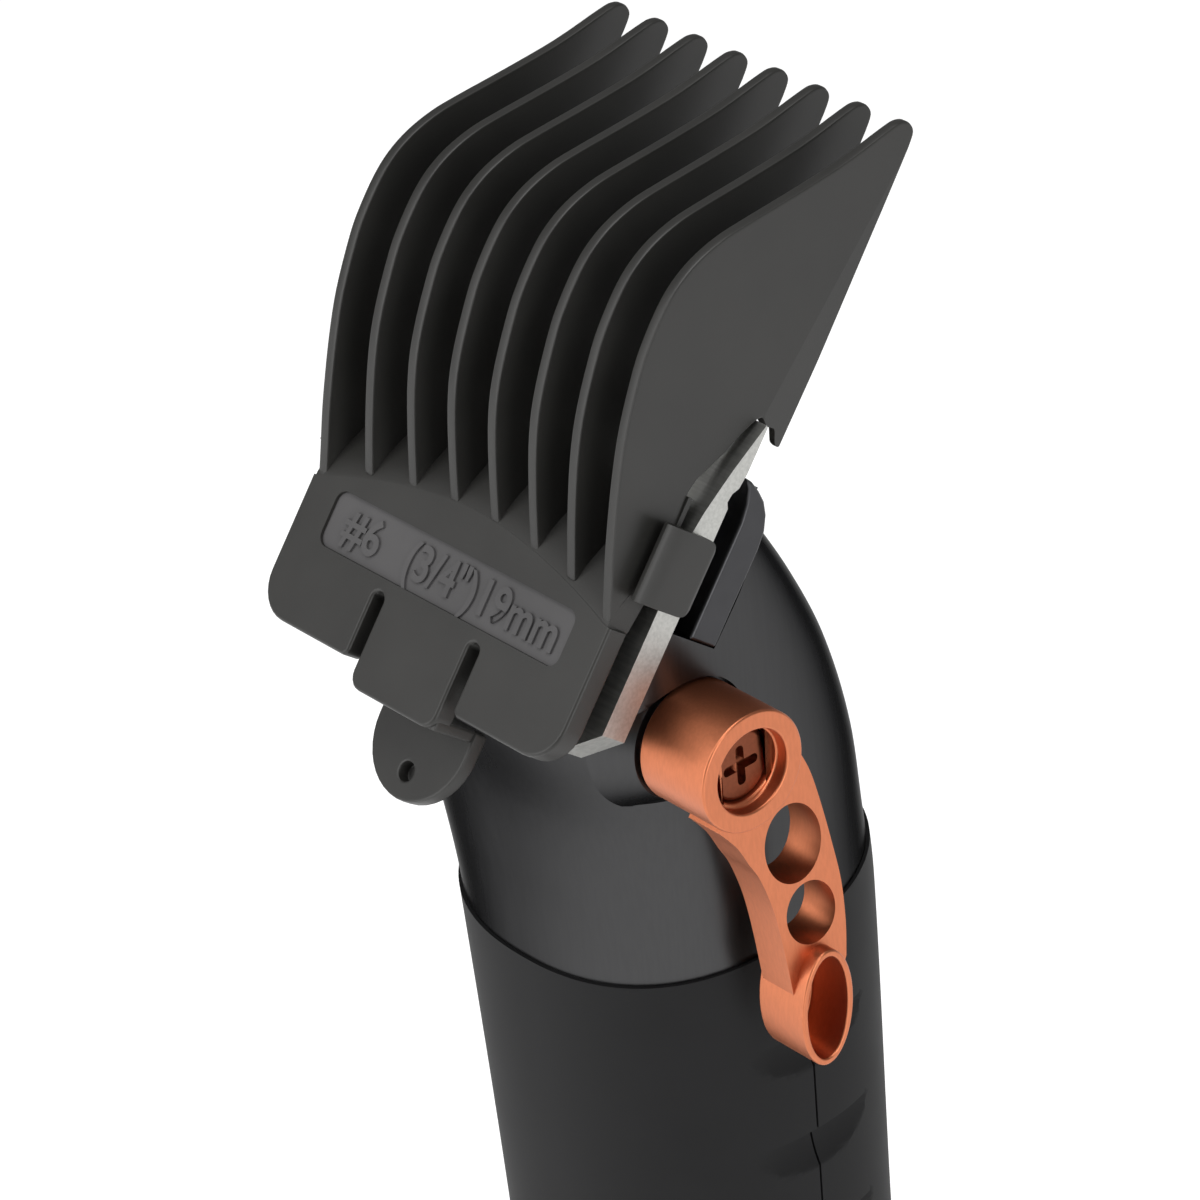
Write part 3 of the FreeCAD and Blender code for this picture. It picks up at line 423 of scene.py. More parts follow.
def plate_from(name, points, thickness, direction):
    """A flat plate: its outline is drawn as one face and extruded."""
    deselect()
    bpy.ops.mesh.primitive_circle_add(vertices=len(points), radius=1.0, fill_type="NGON")
    piece = bpy.context.object
    piece.name = name
    for vertex, point in zip(piece.data.vertices, points):
        vertex.co = point
    bpy.ops.object.mode_set(mode="EDIT")
    bpy.ops.mesh.select_all(action="SELECT")
    bpy.ops.mesh.extrude_region_move(
        TRANSFORM_OT_translate={"value": tuple(c * thickness for c in direction)})
    bpy.ops.object.mode_set(mode="OBJECT")
    return tidy_mesh(piece)


# The blade's own frame: x across, u from the heel to the cutting edge, v out of the guard's face.
BLADE_LEAN = math.radians(51.08)
BLADE_ORIGIN = Vector((0, -17.78, 161.10))
ON_BLADE = Matrix.Translation(BLADE_ORIGIN) @ Matrix.Rotation(BLADE_LEAN, 4, "X")


def place(piece, body, material, replaced=(), on_blade=False, smooth=35.0):
    """Brings a piece from millimetres to its place, shades it, and hands it to its body."""
    matrix = Matrix.Scale(MM, 4) @ (ON_BLADE if on_blade else Matrix.Identity(4))
    piece.data.transform(matrix)
    piece.data.update()
    deselect()
    piece.select_set(True)
    bpy.context.view_layer.objects.active = piece
    bpy.ops.object.shade_smooth_by_angle(angle=math.radians(smooth))
    apply_modifier(piece, "WEIGHTED_NORMAL", keep_sharp=True, weight=60)
    piece.data.materials.clear()
    piece.data.materials.append(material)
    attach(piece, body)
    if replaced:
        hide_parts(*replaced)
    print(piece.name, len(piece.data.polygons), "faces")


# %% [markdown]
# ## The guard: eight ribs
#
# A guard comb holds the hair at a fixed length: its ribs lift the blade off the skin. Each rib is a
# thin fin with a bulged skin side, a pointed tip and a hook that catches the blade's edge. All fins
# share one profile, but near the plate their feet start along an arch, highest in the middle, and
# towards their tips they lean together slightly. One function draws a fin and is called eight times.
# The two end ribs lose a shallow wedge of their outer face along the back edge, which catches the light
# as a narrow strip. It is cut last, from the joined guard, so that no bevel runs into its thin end.

# %% Rib profile
RIB_PITCH = 6.0
RIB_THICK = 1.25
RIB_COUNT = 8
ARCH_MIDDLE, ARCH_DROP, ARCH_HALF, ARCH_POWER = -0.45, 3.85, 21.0, 1.8
LEAN_SHARE, LEAN_FROM, LEAN_LENGTH = 0.041, -4.5, 50.0
BLEND_FROM, BLEND_TO = -4.0, 11.0
FOOT_DEEP = 0.3
CREST = [(-4.4, 0.2), (-1.3, 1.8), (1.3, 3.1), (4.0, 4.3), (8.4, 6.1), (12.9, 7.75), (18.0, 9.0),
         (20.8, 9.35), (24.2, 9.35), (26.8, 8.9), (29.4, 7.8), (32.0, 6.0), (34.3, 3.8), (38.6, -0.65),
         (43.0, -5.0), (47.3, -8.6), (48.5, -9.8), (48.8, -10.9), (48.2, -11.9), (46.6, -12.15)]
HOOK = [(36.2, -12.25), (25.1, -12.4), (19.66, -12.3), (16.48, -12.24), (16.61, -11.54),
        (18.0, -10.54), (17.9, -9.2), (18.53, -8.23), (18.21, -7.78), (17.63, -7.32), (16.32, -6.49),
        (14.25, -5.5), (13.05, -4.7), (10.99, -3.41), (9.69, -3.07), (7.71, -3.18), (6.86, -3.52),
        (-1.0, -3.6)]


def smooth_step(value, low, high):
    """From 0 at low to 1 at high, level at both ends."""
    t = min(max((value - low) / (high - low), 0.0), 1.0)
    return t * t * (3 - 2 * t)


def spline(points, per_span):
    """Points along a smooth curve through the given ones."""
    result = []
    last = len(points) - 1
    for k in range(last):
        before, here = points[max(k - 1, 0)], points[k]
        there, after = points[k + 1], points[min(k + 2, last)]
        for j in range(per_span):
            t = j / per_span
            result.append(tuple(
                0.5 * (2 * b + (c - a) * t + (2 * a - 5 * b + 4 * c - d) * t**2
                       + (3 * b - a - 3 * c + d) * t**3)
                for a, b, c, d in zip(before, here, there, after)))
    result.append(tuple(points[-1]))
    return result


def foot_of(x):
    """Where a rib's crest leaves the plate: an arch across the guard."""
    return ARCH_MIDDLE - ARCH_DROP * (abs(x) / ARCH_HALF) ** ARCH_POWER


def lean_of(u):
    """How much the ribs draw together towards their tips."""
    return 1.0 - LEAN_SHARE * (u - LEAN_FROM) / LEAN_LENGTH


def make_rib(number):
    """One fin; near the plate its crest is lowered so that it starts flush on the arch."""
    x = (number - (RIB_COUNT + 1) / 2) * RIB_PITCH
    foot = foot_of(x)
    crest = spline(CREST, 4)
    at_foot = next(v for u, v in crest if u >= foot)
    points = []
    for u, v in crest:
        if u < foot - FOOT_DEEP:
            continue
        points.append((u, v - at_foot * (1 - smooth_step(u, BLEND_FROM, BLEND_TO))))
    points += HOOK + [(foot - FOOT_DEEP, -3.0)]
    outline = [(x, u, v) for u, v in points]
    fin = plate_from(f"rib_{number}", outline, RIB_THICK, (1, 0, 0))
    fin.data.transform(Matrix.Translation((-RIB_THICK / 2, 0, 0)))
    for vertex in fin.data.vertices:
        vertex.co.x *= lean_of(vertex.co.y)
    return soften(fin, 0.28, 2, 40.0)


def back_strip(sign):
    """A shallow wedge that lowers the outer face of an end rib towards its back edge."""
    face = (RIB_COUNT - 1) / 2 * RIB_PITCH + RIB_THICK / 2
    corners = [(face * lean_of(18.5), 18.5, -8.3), (face * lean_of(50.0), 50.0, -12.5),
               (face * lean_of(15.0) - 0.5, 15.0, -13.0)]
    return plate_from("back_strip", [(sign * x, u, v) for x, u, v in corners], 3.0, (sign, 0, 0))


# %% [markdown]
# ## The guard: plate, floor and ears
#
# The face plate is one extruded outline with wide round lower corners. Two slots part it into a stiff
# frame and a springy tongue. Behind the crest arch the floor between the ribs ramps down towards the
# blade, so each gap ends in a dark V. The ears are small rounded hooks that run down both sides of the
# blade, and the tongue ends in a wall with a round pull tab.

# %% Guard plate
PLATE_HALF, PLATE_HEEL, PLATE_THICK = 22.05, -18.5, 2.5
PLATE_CORNER = 4.0
SLOT_IN, SLOT_OUT, SLOT_TOP = 6.3, 7.9, -11.5
TONGUE_LOW, TONGUE_CORNER = -20.8, 1.6
LABEL_HALF, LABEL_LOW, LABEL_HIGH, LABEL_DEEP, LABEL_CORNER = 17.7, -10.2, -4.5, 0.35, 1.2


def arch_points(count, beyond):
    """The plate's upper edge, from the lever side to the other."""
    edge = PLATE_HALF + beyond
    return [(x, foot_of(min(abs(x), PLATE_HALF))) for x in (edge * (1 - 2 * k / count)
                                                            for k in range(count + 1))]


def corner_points(centre_x, centre_y, radius, start, end, count=8):
    """Points along a round corner, from one angle to another."""
    angles = [math.radians(start + (end - start) * k / count) for k in range(count + 1)]
    return [(centre_x + radius * math.cos(a), centre_y + radius * math.sin(a)) for a in angles]


def make_plate():
    """The plate with its slots and tongue; it is softened first and cut along the arch afterwards, so
    the floor can start flush there with no bevel between."""
    slot_round, slot_x = (SLOT_OUT - SLOT_IN) / 2, (SLOT_IN + SLOT_OUT) / 2
    outline = corner_points(PLATE_HALF - PLATE_CORNER, PLATE_HEEL + PLATE_CORNER, PLATE_CORNER, 0, -90)
    outline += [(SLOT_OUT + 0.5, PLATE_HEEL), (SLOT_OUT, PLATE_HEEL + 0.5)]
    outline += corner_points(slot_x, SLOT_TOP - slot_round, slot_round, 0, 180)
    outline += corner_points(SLOT_IN - TONGUE_CORNER, TONGUE_LOW + TONGUE_CORNER, TONGUE_CORNER,
                             0, -90, 5)
    mirrored = [(-x, y) for x, y in reversed(outline)]
    outline += mirrored + [(-PLATE_HALF, 3.0), (PLATE_HALF, 3.0)]
    plate = plate_from("plate", [(x, y, -PLATE_THICK) for x, y in outline], PLATE_THICK, (0, 0, 1))
    soften(plate, 0.35, 3, 40.0)
    above = [(x, y, -6.0) for x, y in arch_points(24, 1.0)] + [(-24.0, 8.0, -6.0), (24.0, 8.0, -6.0)]
    above_arch = plate_from("above_arch", above, 8.0, (0, 0, 1))
    cutter = plate_from("label_cutter", label_outline(0.0, -LABEL_DEEP), 2.0, (0, 0, 1))
    return carve(plate, above_arch, cutter)


def label_outline(inset, v):
    """The size panel's rounded outline, drawn in by inset, at depth v."""
    outline = []
    for sx, sy, start in ((1, 1, 90), (1, -1, 0), (-1, -1, -90), (-1, 1, -180)):
        cx = sx * (LABEL_HALF - LABEL_CORNER)
        cy = (LABEL_HIGH - LABEL_CORNER) if sy > 0 else (LABEL_LOW + LABEL_CORNER)
        outline += corner_points(cx, cy, LABEL_CORNER - inset, start, start - 90, 6)
    return [(x, y, v) for x, y in outline]


# %% Floor between the ribs
RAMP_COLUMNS, RAMP_ROWS, RAMP_DROP, RAMP_REACH = 44, 14, 3.0, 9.0
RAMP_THICK, RAMP_UNDER = 1.2, -3.6


def make_floor():
    """A ramp from the arch down to the blade, drawn as a grid and thickened."""
    deselect()
    bpy.ops.mesh.primitive_grid_add(x_subdivisions=RAMP_COLUMNS, y_subdivisions=RAMP_ROWS, size=1.0)
    ramp = bpy.context.object
    ramp.name = "rib_floor"
    for vertex in ramp.data.vertices:
        x = vertex.co.x * 2 * (PLATE_HALF - 0.45)
        along = vertex.co.y + 0.5
        foot = foot_of(x)
        u = foot - 0.6 + (9.9 - foot) * along
        drop = smooth_step(u, foot - 0.2, foot + RAMP_REACH) * RAMP_DROP
        vertex.co = (x, u, -0.02 - drop)
    apply_modifier(ramp, "SOLIDIFY", thickness=RAMP_THICK, offset=-1.0)
    tidy_mesh(ramp)
    for vertex in ramp.data.vertices:
        vertex.co.z = max(vertex.co.z, RAMP_UNDER)
    return ramp


# %% Ears, tongue and tab
EAR_LOW, EAR_HIGH, EAR_BACK, EAR_CORNER = -1.2, 6.5, -7.0, 1.5
TAB_FRONT, TAB_BACK, TAB_END, TAB_HALF, TAB_START = -5.7, -7.4, -28.8, 6.5, -19.6
TAB_HOLE_AT, TAB_HOLE_RADIUS = -26.0, 0.95


def make_ear(sign):
    """A hook round the blade's side: one profile along it, kept within a second, rounded one."""
    profile = [(21.0, -3.4), (21.0, -2.4), (22.3, -2.4), (22.45, -0.9), (22.7, -0.25), (23.2, -0.15),
               (23.6, -0.6), (24.0, -2.2), (24.0, -6.4), (23.8, -6.9), (23.2, -7.0), (22.7, -6.6),
               (22.6, -3.6)]
    ear = plate_from(f"ear_{'right' if sign > 0 else 'left'}",
                     [(sign * x, EAR_LOW, v) for x, v in profile], EAR_HIGH - EAR_LOW, (0, 1, 0))
    side = [(EAR_LOW, 1.0), (EAR_HIGH, 1.0)]
    side += corner_points(EAR_HIGH - EAR_CORNER, EAR_BACK + EAR_CORNER, EAR_CORNER, 0, -90, 6)
    side += corner_points(EAR_LOW + EAR_CORNER, EAR_BACK + EAR_CORNER, EAR_CORNER, -90, -180, 6)
    overlap(ear, plate_from("ear_side", [(sign * 20.0, u, v) for u, v in side], sign * 5.0, (1, 0, 0)))
    return soften(ear, 0.18, 2, 50.0)


def make_tongue():
    """The wall that steps back from the tongue's end, and the pull tab with its blind hole."""
    wall = box_mm("tongue_wall", (-6.2, -20.75, TAB_BACK + 0.05), (6.2, -19.5, -0.6))
    soften(wall, 0.3, 2, 40.0)
    outline = [(-TAB_HALF, TAB_START), *corner_points(0, TAB_END + TAB_HALF, TAB_HALF, 180, 360, 20),
               (TAB_HALF, TAB_START)]
    tab = plate_from("pull_tab", [(x, y, TAB_BACK) for x, y in outline], TAB_FRONT - TAB_BACK, (0, 0, 1))
    carve(tab, rod_mm("tab_hole", TAB_HOLE_RADIUS, (0, TAB_HOLE_AT, TAB_BACK + 0.4),
                      (0, TAB_HOLE_AT, -3), 32))
    soften(tab, 0.3, 2, 40.0)
    return weld(wall, tab)


# %% Assemble the guard
SPACER_X = 16.6
guard = make_plate()
weld(guard, make_floor())
for number in range(1, RIB_COUNT + 1):
    weld(guard, make_rib(number))
weld(guard, make_ear(1), make_ear(-1), make_tongue())
for sign in (-1, 1):
    spacer_x = sign * SPACER_X
    weld(guard, box_mm("spacer", (spacer_x - 0.6, -16.0, -4.45), (spacer_x + 0.6, -6.0, -1.0)))
    before = len(guard.data.polygons)
    carve(guard, back_strip(sign))
    print("back strip", sign, before, "->", len(guard.data.polygons))
place(guard, "guard", GUARD_BLACK, ["guard_comb"], on_blade=True, smooth=32.0)

# %% [markdown]
# ## The size panel
#
# The recess carries the size of the guard in raised figures: the guard number, and the length it
# leaves in inches and millimetres. A text object is turned into a mesh and laid on a thin panel.

# %% Size figures
TEXT_HEIGHT, TEXT_BASE, TEXT_DEEP, TEXT_BOLD, TEXT_PROUD = 5.0, -9.0, 0.16, 0.10, 0.12


def raised_text(name, words, left, width=1.0):
    """Raised figures on the panel, starting at left; width narrows them."""
    deselect()
    bpy.ops.object.text_add(location=(0, 0, 0))
    text = bpy.context.object
    text.name = name
    text.data.body = words
    text.data.size = TEXT_HEIGHT
    text.data.extrude = TEXT_DEEP
    text.data.offset = TEXT_BOLD
    text.data.resolution_u = 6
    bpy.ops.object.convert(target="MESH")
    text = bpy.context.object
    text.data.transform(Matrix.Translation((left, TEXT_BASE, -LABEL_DEEP + TEXT_PROUD))
                        @ Matrix.Diagonal((width, 1.0, 1.0, 1.0)))
    return text


panel = plate_from("size_panel", label_outline(0.03, -LABEL_DEEP - 0.05), 0.08, (0, 0, 1))
place(panel, "guard", LABEL_GREY, on_blade=True)
number_mark = raised_text("size_number", "#6", -15.2)
place(number_mark, "guard", LABEL_GREY, on_blade=True)
length_mark = raised_text("size_length", '(3/4")19mm', -6.0, 0.93)
place(length_mark, "guard", LABEL_GREY, on_blade=True)

# %% [markdown]
# ## The fixed blade and its mount
#
# The fixed blade is ground steel: a flat plate, sloped towards its edge, with teeth cut into it, two
# clipped corners at the heel, and thicker ends beyond the teeth. A side profile is extruded across, and
# one slot, repeated at the tooth pitch, makes the comb of teeth. The mount behind it is a dark frame
# with a rounded cheek at either side.

# %% Fixed blade
BLADE_HALF, TEETH_HALF, BLADE_HEEL, BLADE_FRONT, BLADE_BACK = 22.3, 18.4, -17.1, -4.6, -7.7
TOOTH_PITCH, SLOT_WIDE, SLOT_ROOT, SLOT_COUNT = 1.8, 0.8, 11.5, 21
SCREW_X, SCREW_U = 11, -8.5


def across(name, half_low, half_high, profile):
    """A bar across the blade, from one x to another, with the given side profile."""
    return plate_from(name, [(half_low, u, v) for u, v in profile], half_high - half_low, (1, 0, 0))


def screw_hole(name, sign, radius, low, high):
    """A drill through the blade's frame at one of its two screws."""
    return rod_mm(name, radius, (sign * SCREW_X, SCREW_U, low), (sign * SCREW_X, SCREW_U, high), 40)


heel_profile = [(BLADE_HEEL, BLADE_BACK), (BLADE_HEEL, BLADE_FRONT - 0.5),
                (BLADE_HEEL + 0.7, BLADE_FRONT)]
middle_profile = heel_profile + [(9.8, BLADE_FRONT), (12.6, -5.4), (15.6, -6.2), (18.2, -6.8),
                                 (18.2, BLADE_BACK)]
end_profile = heel_profile + [
    (6.5, BLADE_FRONT - 0.05), (8.5, -5.0), (11.1, -5.7), (13.2, -6.3), (18.1, -7.95), (17.9, -8.2),
    (13.3, -8.2), (11.75, -8.0), (11.05, -7.45), (10.2, -7.3), (9.6, BLADE_BACK)]
blade = across("fixed_blade_middle", -TEETH_HALF, TEETH_HALF, middle_profile)
first = -TOOTH_PITCH * (SLOT_COUNT - 1) / 2
slots = box_mm("tooth_slots", (first - SLOT_WIDE / 2, SLOT_ROOT, -12), (first + SLOT_WIDE / 2, 22, 0))
apply_modifier(slots, "ARRAY", count=SLOT_COUNT, use_relative_offset=False, use_constant_offset=True,
               constant_offset_displace=(TOOTH_PITCH, 0, 0))
carve(blade, slots)
for sign in (-1, 1):
    low, high = sorted((sign * (TEETH_HALF - 0.05), sign * BLADE_HALF))
    weld(blade, across("fixed_blade_end", low, high, end_profile))
    heel = [(sign * 22.4, -13.9), (sign * 23.5, -13.9), (sign * 23.5, -18.0), (sign * 18.0, -18.0),
            (sign * 18.0, BLADE_HEEL - 0.1)]
    carve(blade, plate_from("heel_corner", [(x, y, -12.0) for x, y in heel], 12.0, (0, 0, 1)))
    carve(blade, screw_hole("blade_hole", sign, 1.65, -12, 0))
soften(blade, 0.08, 1, 60.0)
place(blade, "handle", STEEL, ["fixed_blade"], on_blade=True, smooth=9.0)

# %% Blade mount
CHEEK_IN, CHEEK_OUT = 18.9, 22.3
cheek_outline = [
    (-2.9, -13.95), (-2.9, -10.25), (8.8, -10.25), (10.6, -9.9), (12.0, -9.3), (12.9, -8.45),
    (12.75, -9.5), (12.2, -10.8), (11.5, -12.0), (10.4, -13.0), (8.95, -13.7), (7.1, -13.95)]


def side_box(name, sign, inner, outer, u_range, v_range):
    """A box on one side of the mount, between two distances from the middle."""
    low, high = sorted((sign * inner, sign * outer))
    return box_mm(name, (low, u_range[0], v_range[0]), (high, u_range[1], v_range[1]))


mount = box_mm("mount_bar", (-13.5, -11.2, -11.4), (13.5, -3.2, -7.75))
for sign in (-1, 1):
    web = side_box("mount_web", sign, 13.2, 17.6, (-7.5, -3.2), (-11.4, -7.75))
    arm = side_box("mount_arm", sign, 17.2, 19.0, (-7.5, 12.3), (-13.4, -10.2))
    low, high = sorted((sign * CHEEK_IN, sign * CHEEK_OUT))
    cheek = soften(across("mount_cheek", low, high, cheek_outline), 0.55, 3, 40.0)
    weld(mount, web, arm, cheek)
    carve(mount, screw_hole("mount_hole", sign, 1.45, -13, -6))
weld(mount, box_mm("mount_lip", (-19.0, 10.8, -13.9), (19.0, 12.3, -13.0)))
place(mount, "handle", MOUNT_GREY, ["blade_mount"], on_blade=True, smooth=32.0)

# %% [markdown]
# ## The head shell
#
# The handle is one flowing tube: at any height its section is a rounded rectangle, and a short table of
# heights carries its half width, its front, its back and how square it is. A grid is rolled into that
# tube, closed, and hollowed with a second, smaller tube. Rolling a grid keeps the surface free of the
# facets that a stack of straight pieces would show on a shiny shell. A short cone carries the lever's
# hub out from the rounded corner, and two boxes in the blade's frame cut the seat of the blade.

# %% The handle's outline
OUTLINE = [  # height, half width, front, back, squareness
    (0, 18.4, -17.0, 17.0, 2.6), (18, 19.0, -17.6, 17.6, 2.5), (60, 18.9, -17.5, 17.5, 2.35),
    (110, 20.5, -18.6, 18.5, 2.3), (120, 20.9, -18.9, 17.3, 2.45), (130, 21.3, -19.8, 15.6, 2.7),
    (141, 21.7, -22.2, 12.0, 3.1), (150, 22.0, -22.4, 7.5, 3.4), (158, 22.2, -22.4, 2.6, 3.7),
    (166, 22.2, -22.4, -2.6, 4.0),
]


def outline_at(height):
    """Half width, front, back and squareness at a height, on a smooth curve through the table."""
    last = len(OUTLINE) - 1
    k = min(max(sum(1 for row in OUTLINE if row[0] <= height) - 1, 0), last - 1)
    slopes = []
    for j in (k, k + 1):
        a, b = OUTLINE[max(j - 1, 0)], OUTLINE[min(j + 1, last)]
        slopes.append([(q - p) / (b[0] - a[0]) for p, q in zip(a[1:], b[1:])])
    step = OUTLINE[k + 1][0] - OUTLINE[k][0]
    t = (height - OUTLINE[k][0]) / step
    return [(2 * t**3 - 3 * t**2 + 1) * p + (t**3 - 2 * t**2 + t) * step * m
            + (3 * t**2 - 2 * t**3) * q + (t**3 - t**2) * step * n
            for p, q, m, n in zip(OUTLINE[k][1:], OUTLINE[k + 1][1:], *slopes)]


def skin(name, low, high, grow, rings, sides=96):
    """A closed solid with the handle's outline, moved outwards by grow."""
    deselect()
    bpy.ops.mesh.primitive_grid_add(x_subdivisions=sides, y_subdivisions=rings, size=1.0)
    tube = bpy.context.object
    tube.name = name
    for vertex in tube.data.vertices:
        height = low + (high - low) * (vertex.co.y + 0.5)
        half, front, back, square = outline_at(height)
        c = math.cos(math.tau * (vertex.co.x + 0.5))
        s = math.sin(math.tau * (vertex.co.x + 0.5))
        x = (half + grow) * math.copysign(abs(c) ** (2 / square), c)
        y = (front + back) / 2 + ((back - front) / 2 + grow) * math.copysign(abs(s) ** (2 / square), s)
        vertex.co = (x, y, height)
    bpy.ops.object.mode_set(mode="EDIT")
    bpy.ops.mesh.select_all(action="SELECT")
    bpy.ops.mesh.remove_doubles(threshold=0.001)
    bpy.ops.mesh.fill_holes(sides=0)
    bpy.ops.mesh.select_all(action="SELECT")
    bpy.ops.mesh.normals_make_consistent(inside=False)
    bpy.ops.object.mode_set(mode="OBJECT")
    return tube


RIM_AT, RIM_SLOPE = Vector((0, -18.6, 110.7)), math.radians(9.0)


def rim_side(above):
    """Everything above, or below, the slanted rim between grip and head."""
    low, high = (0, 80) if above else (-80, 0)
    cutter = box_mm("rim_cutter", (-60, -60, low), (60, 90, high))
    cutter.data.transform(Matrix.Translation(RIM_AT) @ Matrix.Rotation(RIM_SLOPE, 4, "X"))
    return cutter


def blade_box(name, low, high):
    """A box drawn in the blade's frame."""
    cutter = box_mm(name, low, high)
    cutter.data.transform(ON_BLADE)
    return cutter


# %% Head shell
LEVER_Y, LEVER_Z = -11.95, 141.32
HEAD_LOW, HEAD_TOP, SPIGOT_LOW, SPIGOT_TOP = 100, 166, 99, 119
SPIGOT_IN, SPIGOT_HOLLOW, HEAD_WALL = -2.9, -4.5, 1.8
BOSS_FOOT, BOSS_FACE, BOSS_FOOT_RADIUS, BOSS_FACE_RADIUS = 16.5, 20.6, 8.8, 6.35


def along_x(name, radius, start, end, sides=96):
    """A cylinder on the lever's axis."""
    return rod_mm(name, radius, (start, LEVER_Y, LEVER_Z), (end, LEVER_Y, LEVER_Z), sides)


head = carve(skin("head_shell", HEAD_LOW, HEAD_TOP, 0.0, 110, 160), rim_side(above=False))
weld(head, skin("spigot", SPIGOT_LOW, SPIGOT_TOP, SPIGOT_IN, 8))
carve(head, skin("inside_low", 98, 122, SPIGOT_HOLLOW, 8),
      skin("inside_high", 121.9, 167, -HEAD_WALL, 24))
deselect()
bpy.ops.mesh.primitive_cone_add(
    vertices=96, radius1=BOSS_FOOT_RADIUS, radius2=BOSS_FACE_RADIUS, depth=BOSS_FACE - BOSS_FOOT,
    location=((BOSS_FACE + BOSS_FOOT) / 2, LEVER_Y, LEVER_Z), rotation=(0, math.pi / 2, 0))
boss = bpy.context.object
boss.name = "lever_boss"
settle(boss)
weld(head, boss)
carve(head, along_x("lever_recess", 6.45, BOSS_FACE, 34), along_x("bush_bore", 4.6, 12, 30, 64),
      blade_box("seat_cutter", (-35, -3.0, -14.1), (35, 87, 60)),
      blade_box("mouth_cutter", (-35, -63, -7.73), (35, -2.9, 60)))
soften(head, 0.3, 2, 50.0)
place(head, "handle", GUNMETAL, ["head_housing"], smooth=30.0)

# %% [markdown]
# ## The grip halves
#
# The grip is a lacquered sleeve in two halves that meet along both sides, and its rim stands a little
# proud of the head. Under the fingers it has shallow scoops across the side seam: each has a crisp upper
# edge and runs out softly below. The scoop is half an ellipsoid, carved from the whole sleeve before it
# is split, so both halves share it. A thin lip on the front half lies behind the seam and keeps light
# out, the front has the track of the power slider and the hole of the lamp, and in the rear half a
# pillar stands round each screw well.

# %% Grip halves
GRIP_LOW, GRIP_PROUD, GRIP_WALL, SPLIT_GAP = 8.0, 0.35, 2.4, 0.12
POCKET_FACE = -16.9
GRIP_SCREW_X, GRIP_SCREW_HEIGHTS, WELL_FLOOR, WELL_END = 12.5, (24.0, 84.0), 8.2, 28
LAMP_HEIGHT = 33
SCOOP_TOPS = [101.7, 89.4, 77.1, 64.8]
SCOOP_DEEP = 1.2
SCOOP_RADII = (6.0, 41.0, 8.1)


def scoop(sign, top):
    """Half an ellipsoid with a level upper face, sunk into the side of the grip."""
    deselect()
    side = outline_at(top)[0] + GRIP_PROUD
    centre = (sign * (side + SCOOP_RADII[0] - SCOOP_DEEP), 0, 0)
    bpy.ops.mesh.primitive_uv_sphere_add(segments=96, ring_count=64, radius=1.0)
    cutter = bpy.context.object
    cutter.scale = SCOOP_RADII
    cutter.location = centre
    settle(cutter)
    bpy.ops.object.mode_set(mode="EDIT")
    bpy.ops.mesh.select_all(action="SELECT")
    bpy.ops.mesh.bisect(plane_co=(0, 0, 0), plane_no=(0, 0, 1), clear_outer=True, use_fill=True)
    bpy.ops.object.mode_set(mode="OBJECT")
    cutter.data.transform(Matrix.Translation((0, 0, top)))
    return tidy_mesh(cutter)


sleeve = carve(skin("grip_sleeve", GRIP_LOW, 120, GRIP_PROUD, 120, 128),
               skin("grip_inside", GRIP_LOW - 1, 121, -GRIP_WALL, 30), rim_side(above=True))
soften(sleeve, 0.55, 3, 50.0)
for top in SCOOP_TOPS:
    carve(sleeve, scoop(1, top), scoop(-1, top))

deselect()
sleeve.select_set(True)
bpy.context.view_layer.objects.active = sleeve
bpy.ops.object.duplicate()
rear_half = bpy.context.object
rear_half.name = "grip_rear_half"
front_half = sleeve
front_half.name = "grip_front_half"
carve(front_half, box_mm("split_rear", (-40, -SPLIT_GAP, -5), (40, 60, 140)),
      box_mm("switch_track", (-6.5, POCKET_FACE - 10, 42), (6.5, POCKET_FACE, 68)),
      box_mm("switch_window", (-2.7, POCKET_FACE - 5, 47.3), (2.7, POCKET_FACE + 5, 62.7)),
      rod_mm("lamp_hole", 1.6, (0, -25, LAMP_HEIGHT), (0, -5, LAMP_HEIGHT), 32))
carve(rear_half, box_mm("split_front", (-40, -60, -5), (40, SPLIT_GAP, 140)))
for sign in (-1, 1):
    for height in GRIP_SCREW_HEIGHTS:
        x = sign * GRIP_SCREW_X
        pillar = rod_mm("screw_pillar", 3.1, (x, 0.3, height), (x, WELL_END, height), 48)
        weld(rear_half, overlap(pillar, skin("pillar_room", 9, 108, -0.5, 30)))
        carve(rear_half, rod_mm("screw_well", 2.3, (x, WELL_FLOOR, height), (x, WELL_END, height), 40))
lip = carve(skin("seam_lip", 9, 98, -2.35, 30), skin("lip_inside", 8, 99, -3.3, 30),
            box_mm("lip_rear", (-30, 1.6, 0), (30, 40, 120)),
            box_mm("lip_front", (-30, -40, 0), (30, -1.6, 120)))
weld(front_half, lip)
for half in (front_half, rear_half):
    soften(half, 0.12, 1, 60.0)
place(front_half, "handle", SOFT_BLACK, ["grip_front"], smooth=32.0)
place(rear_half, "handle", SOFT_BLACK, ["grip_rear"], smooth=32.0)

# %% [markdown]
# ## The taper lever
#
# A die-cast lever: a round hub with a stepped recess for its screw, an arm with two oval windows that
# narrows to a V, and an oval cup for the fingertip. Each of the three is softened on its own before they
# are joined, because a bevel runs more evenly on a simple outline than on a joined one.

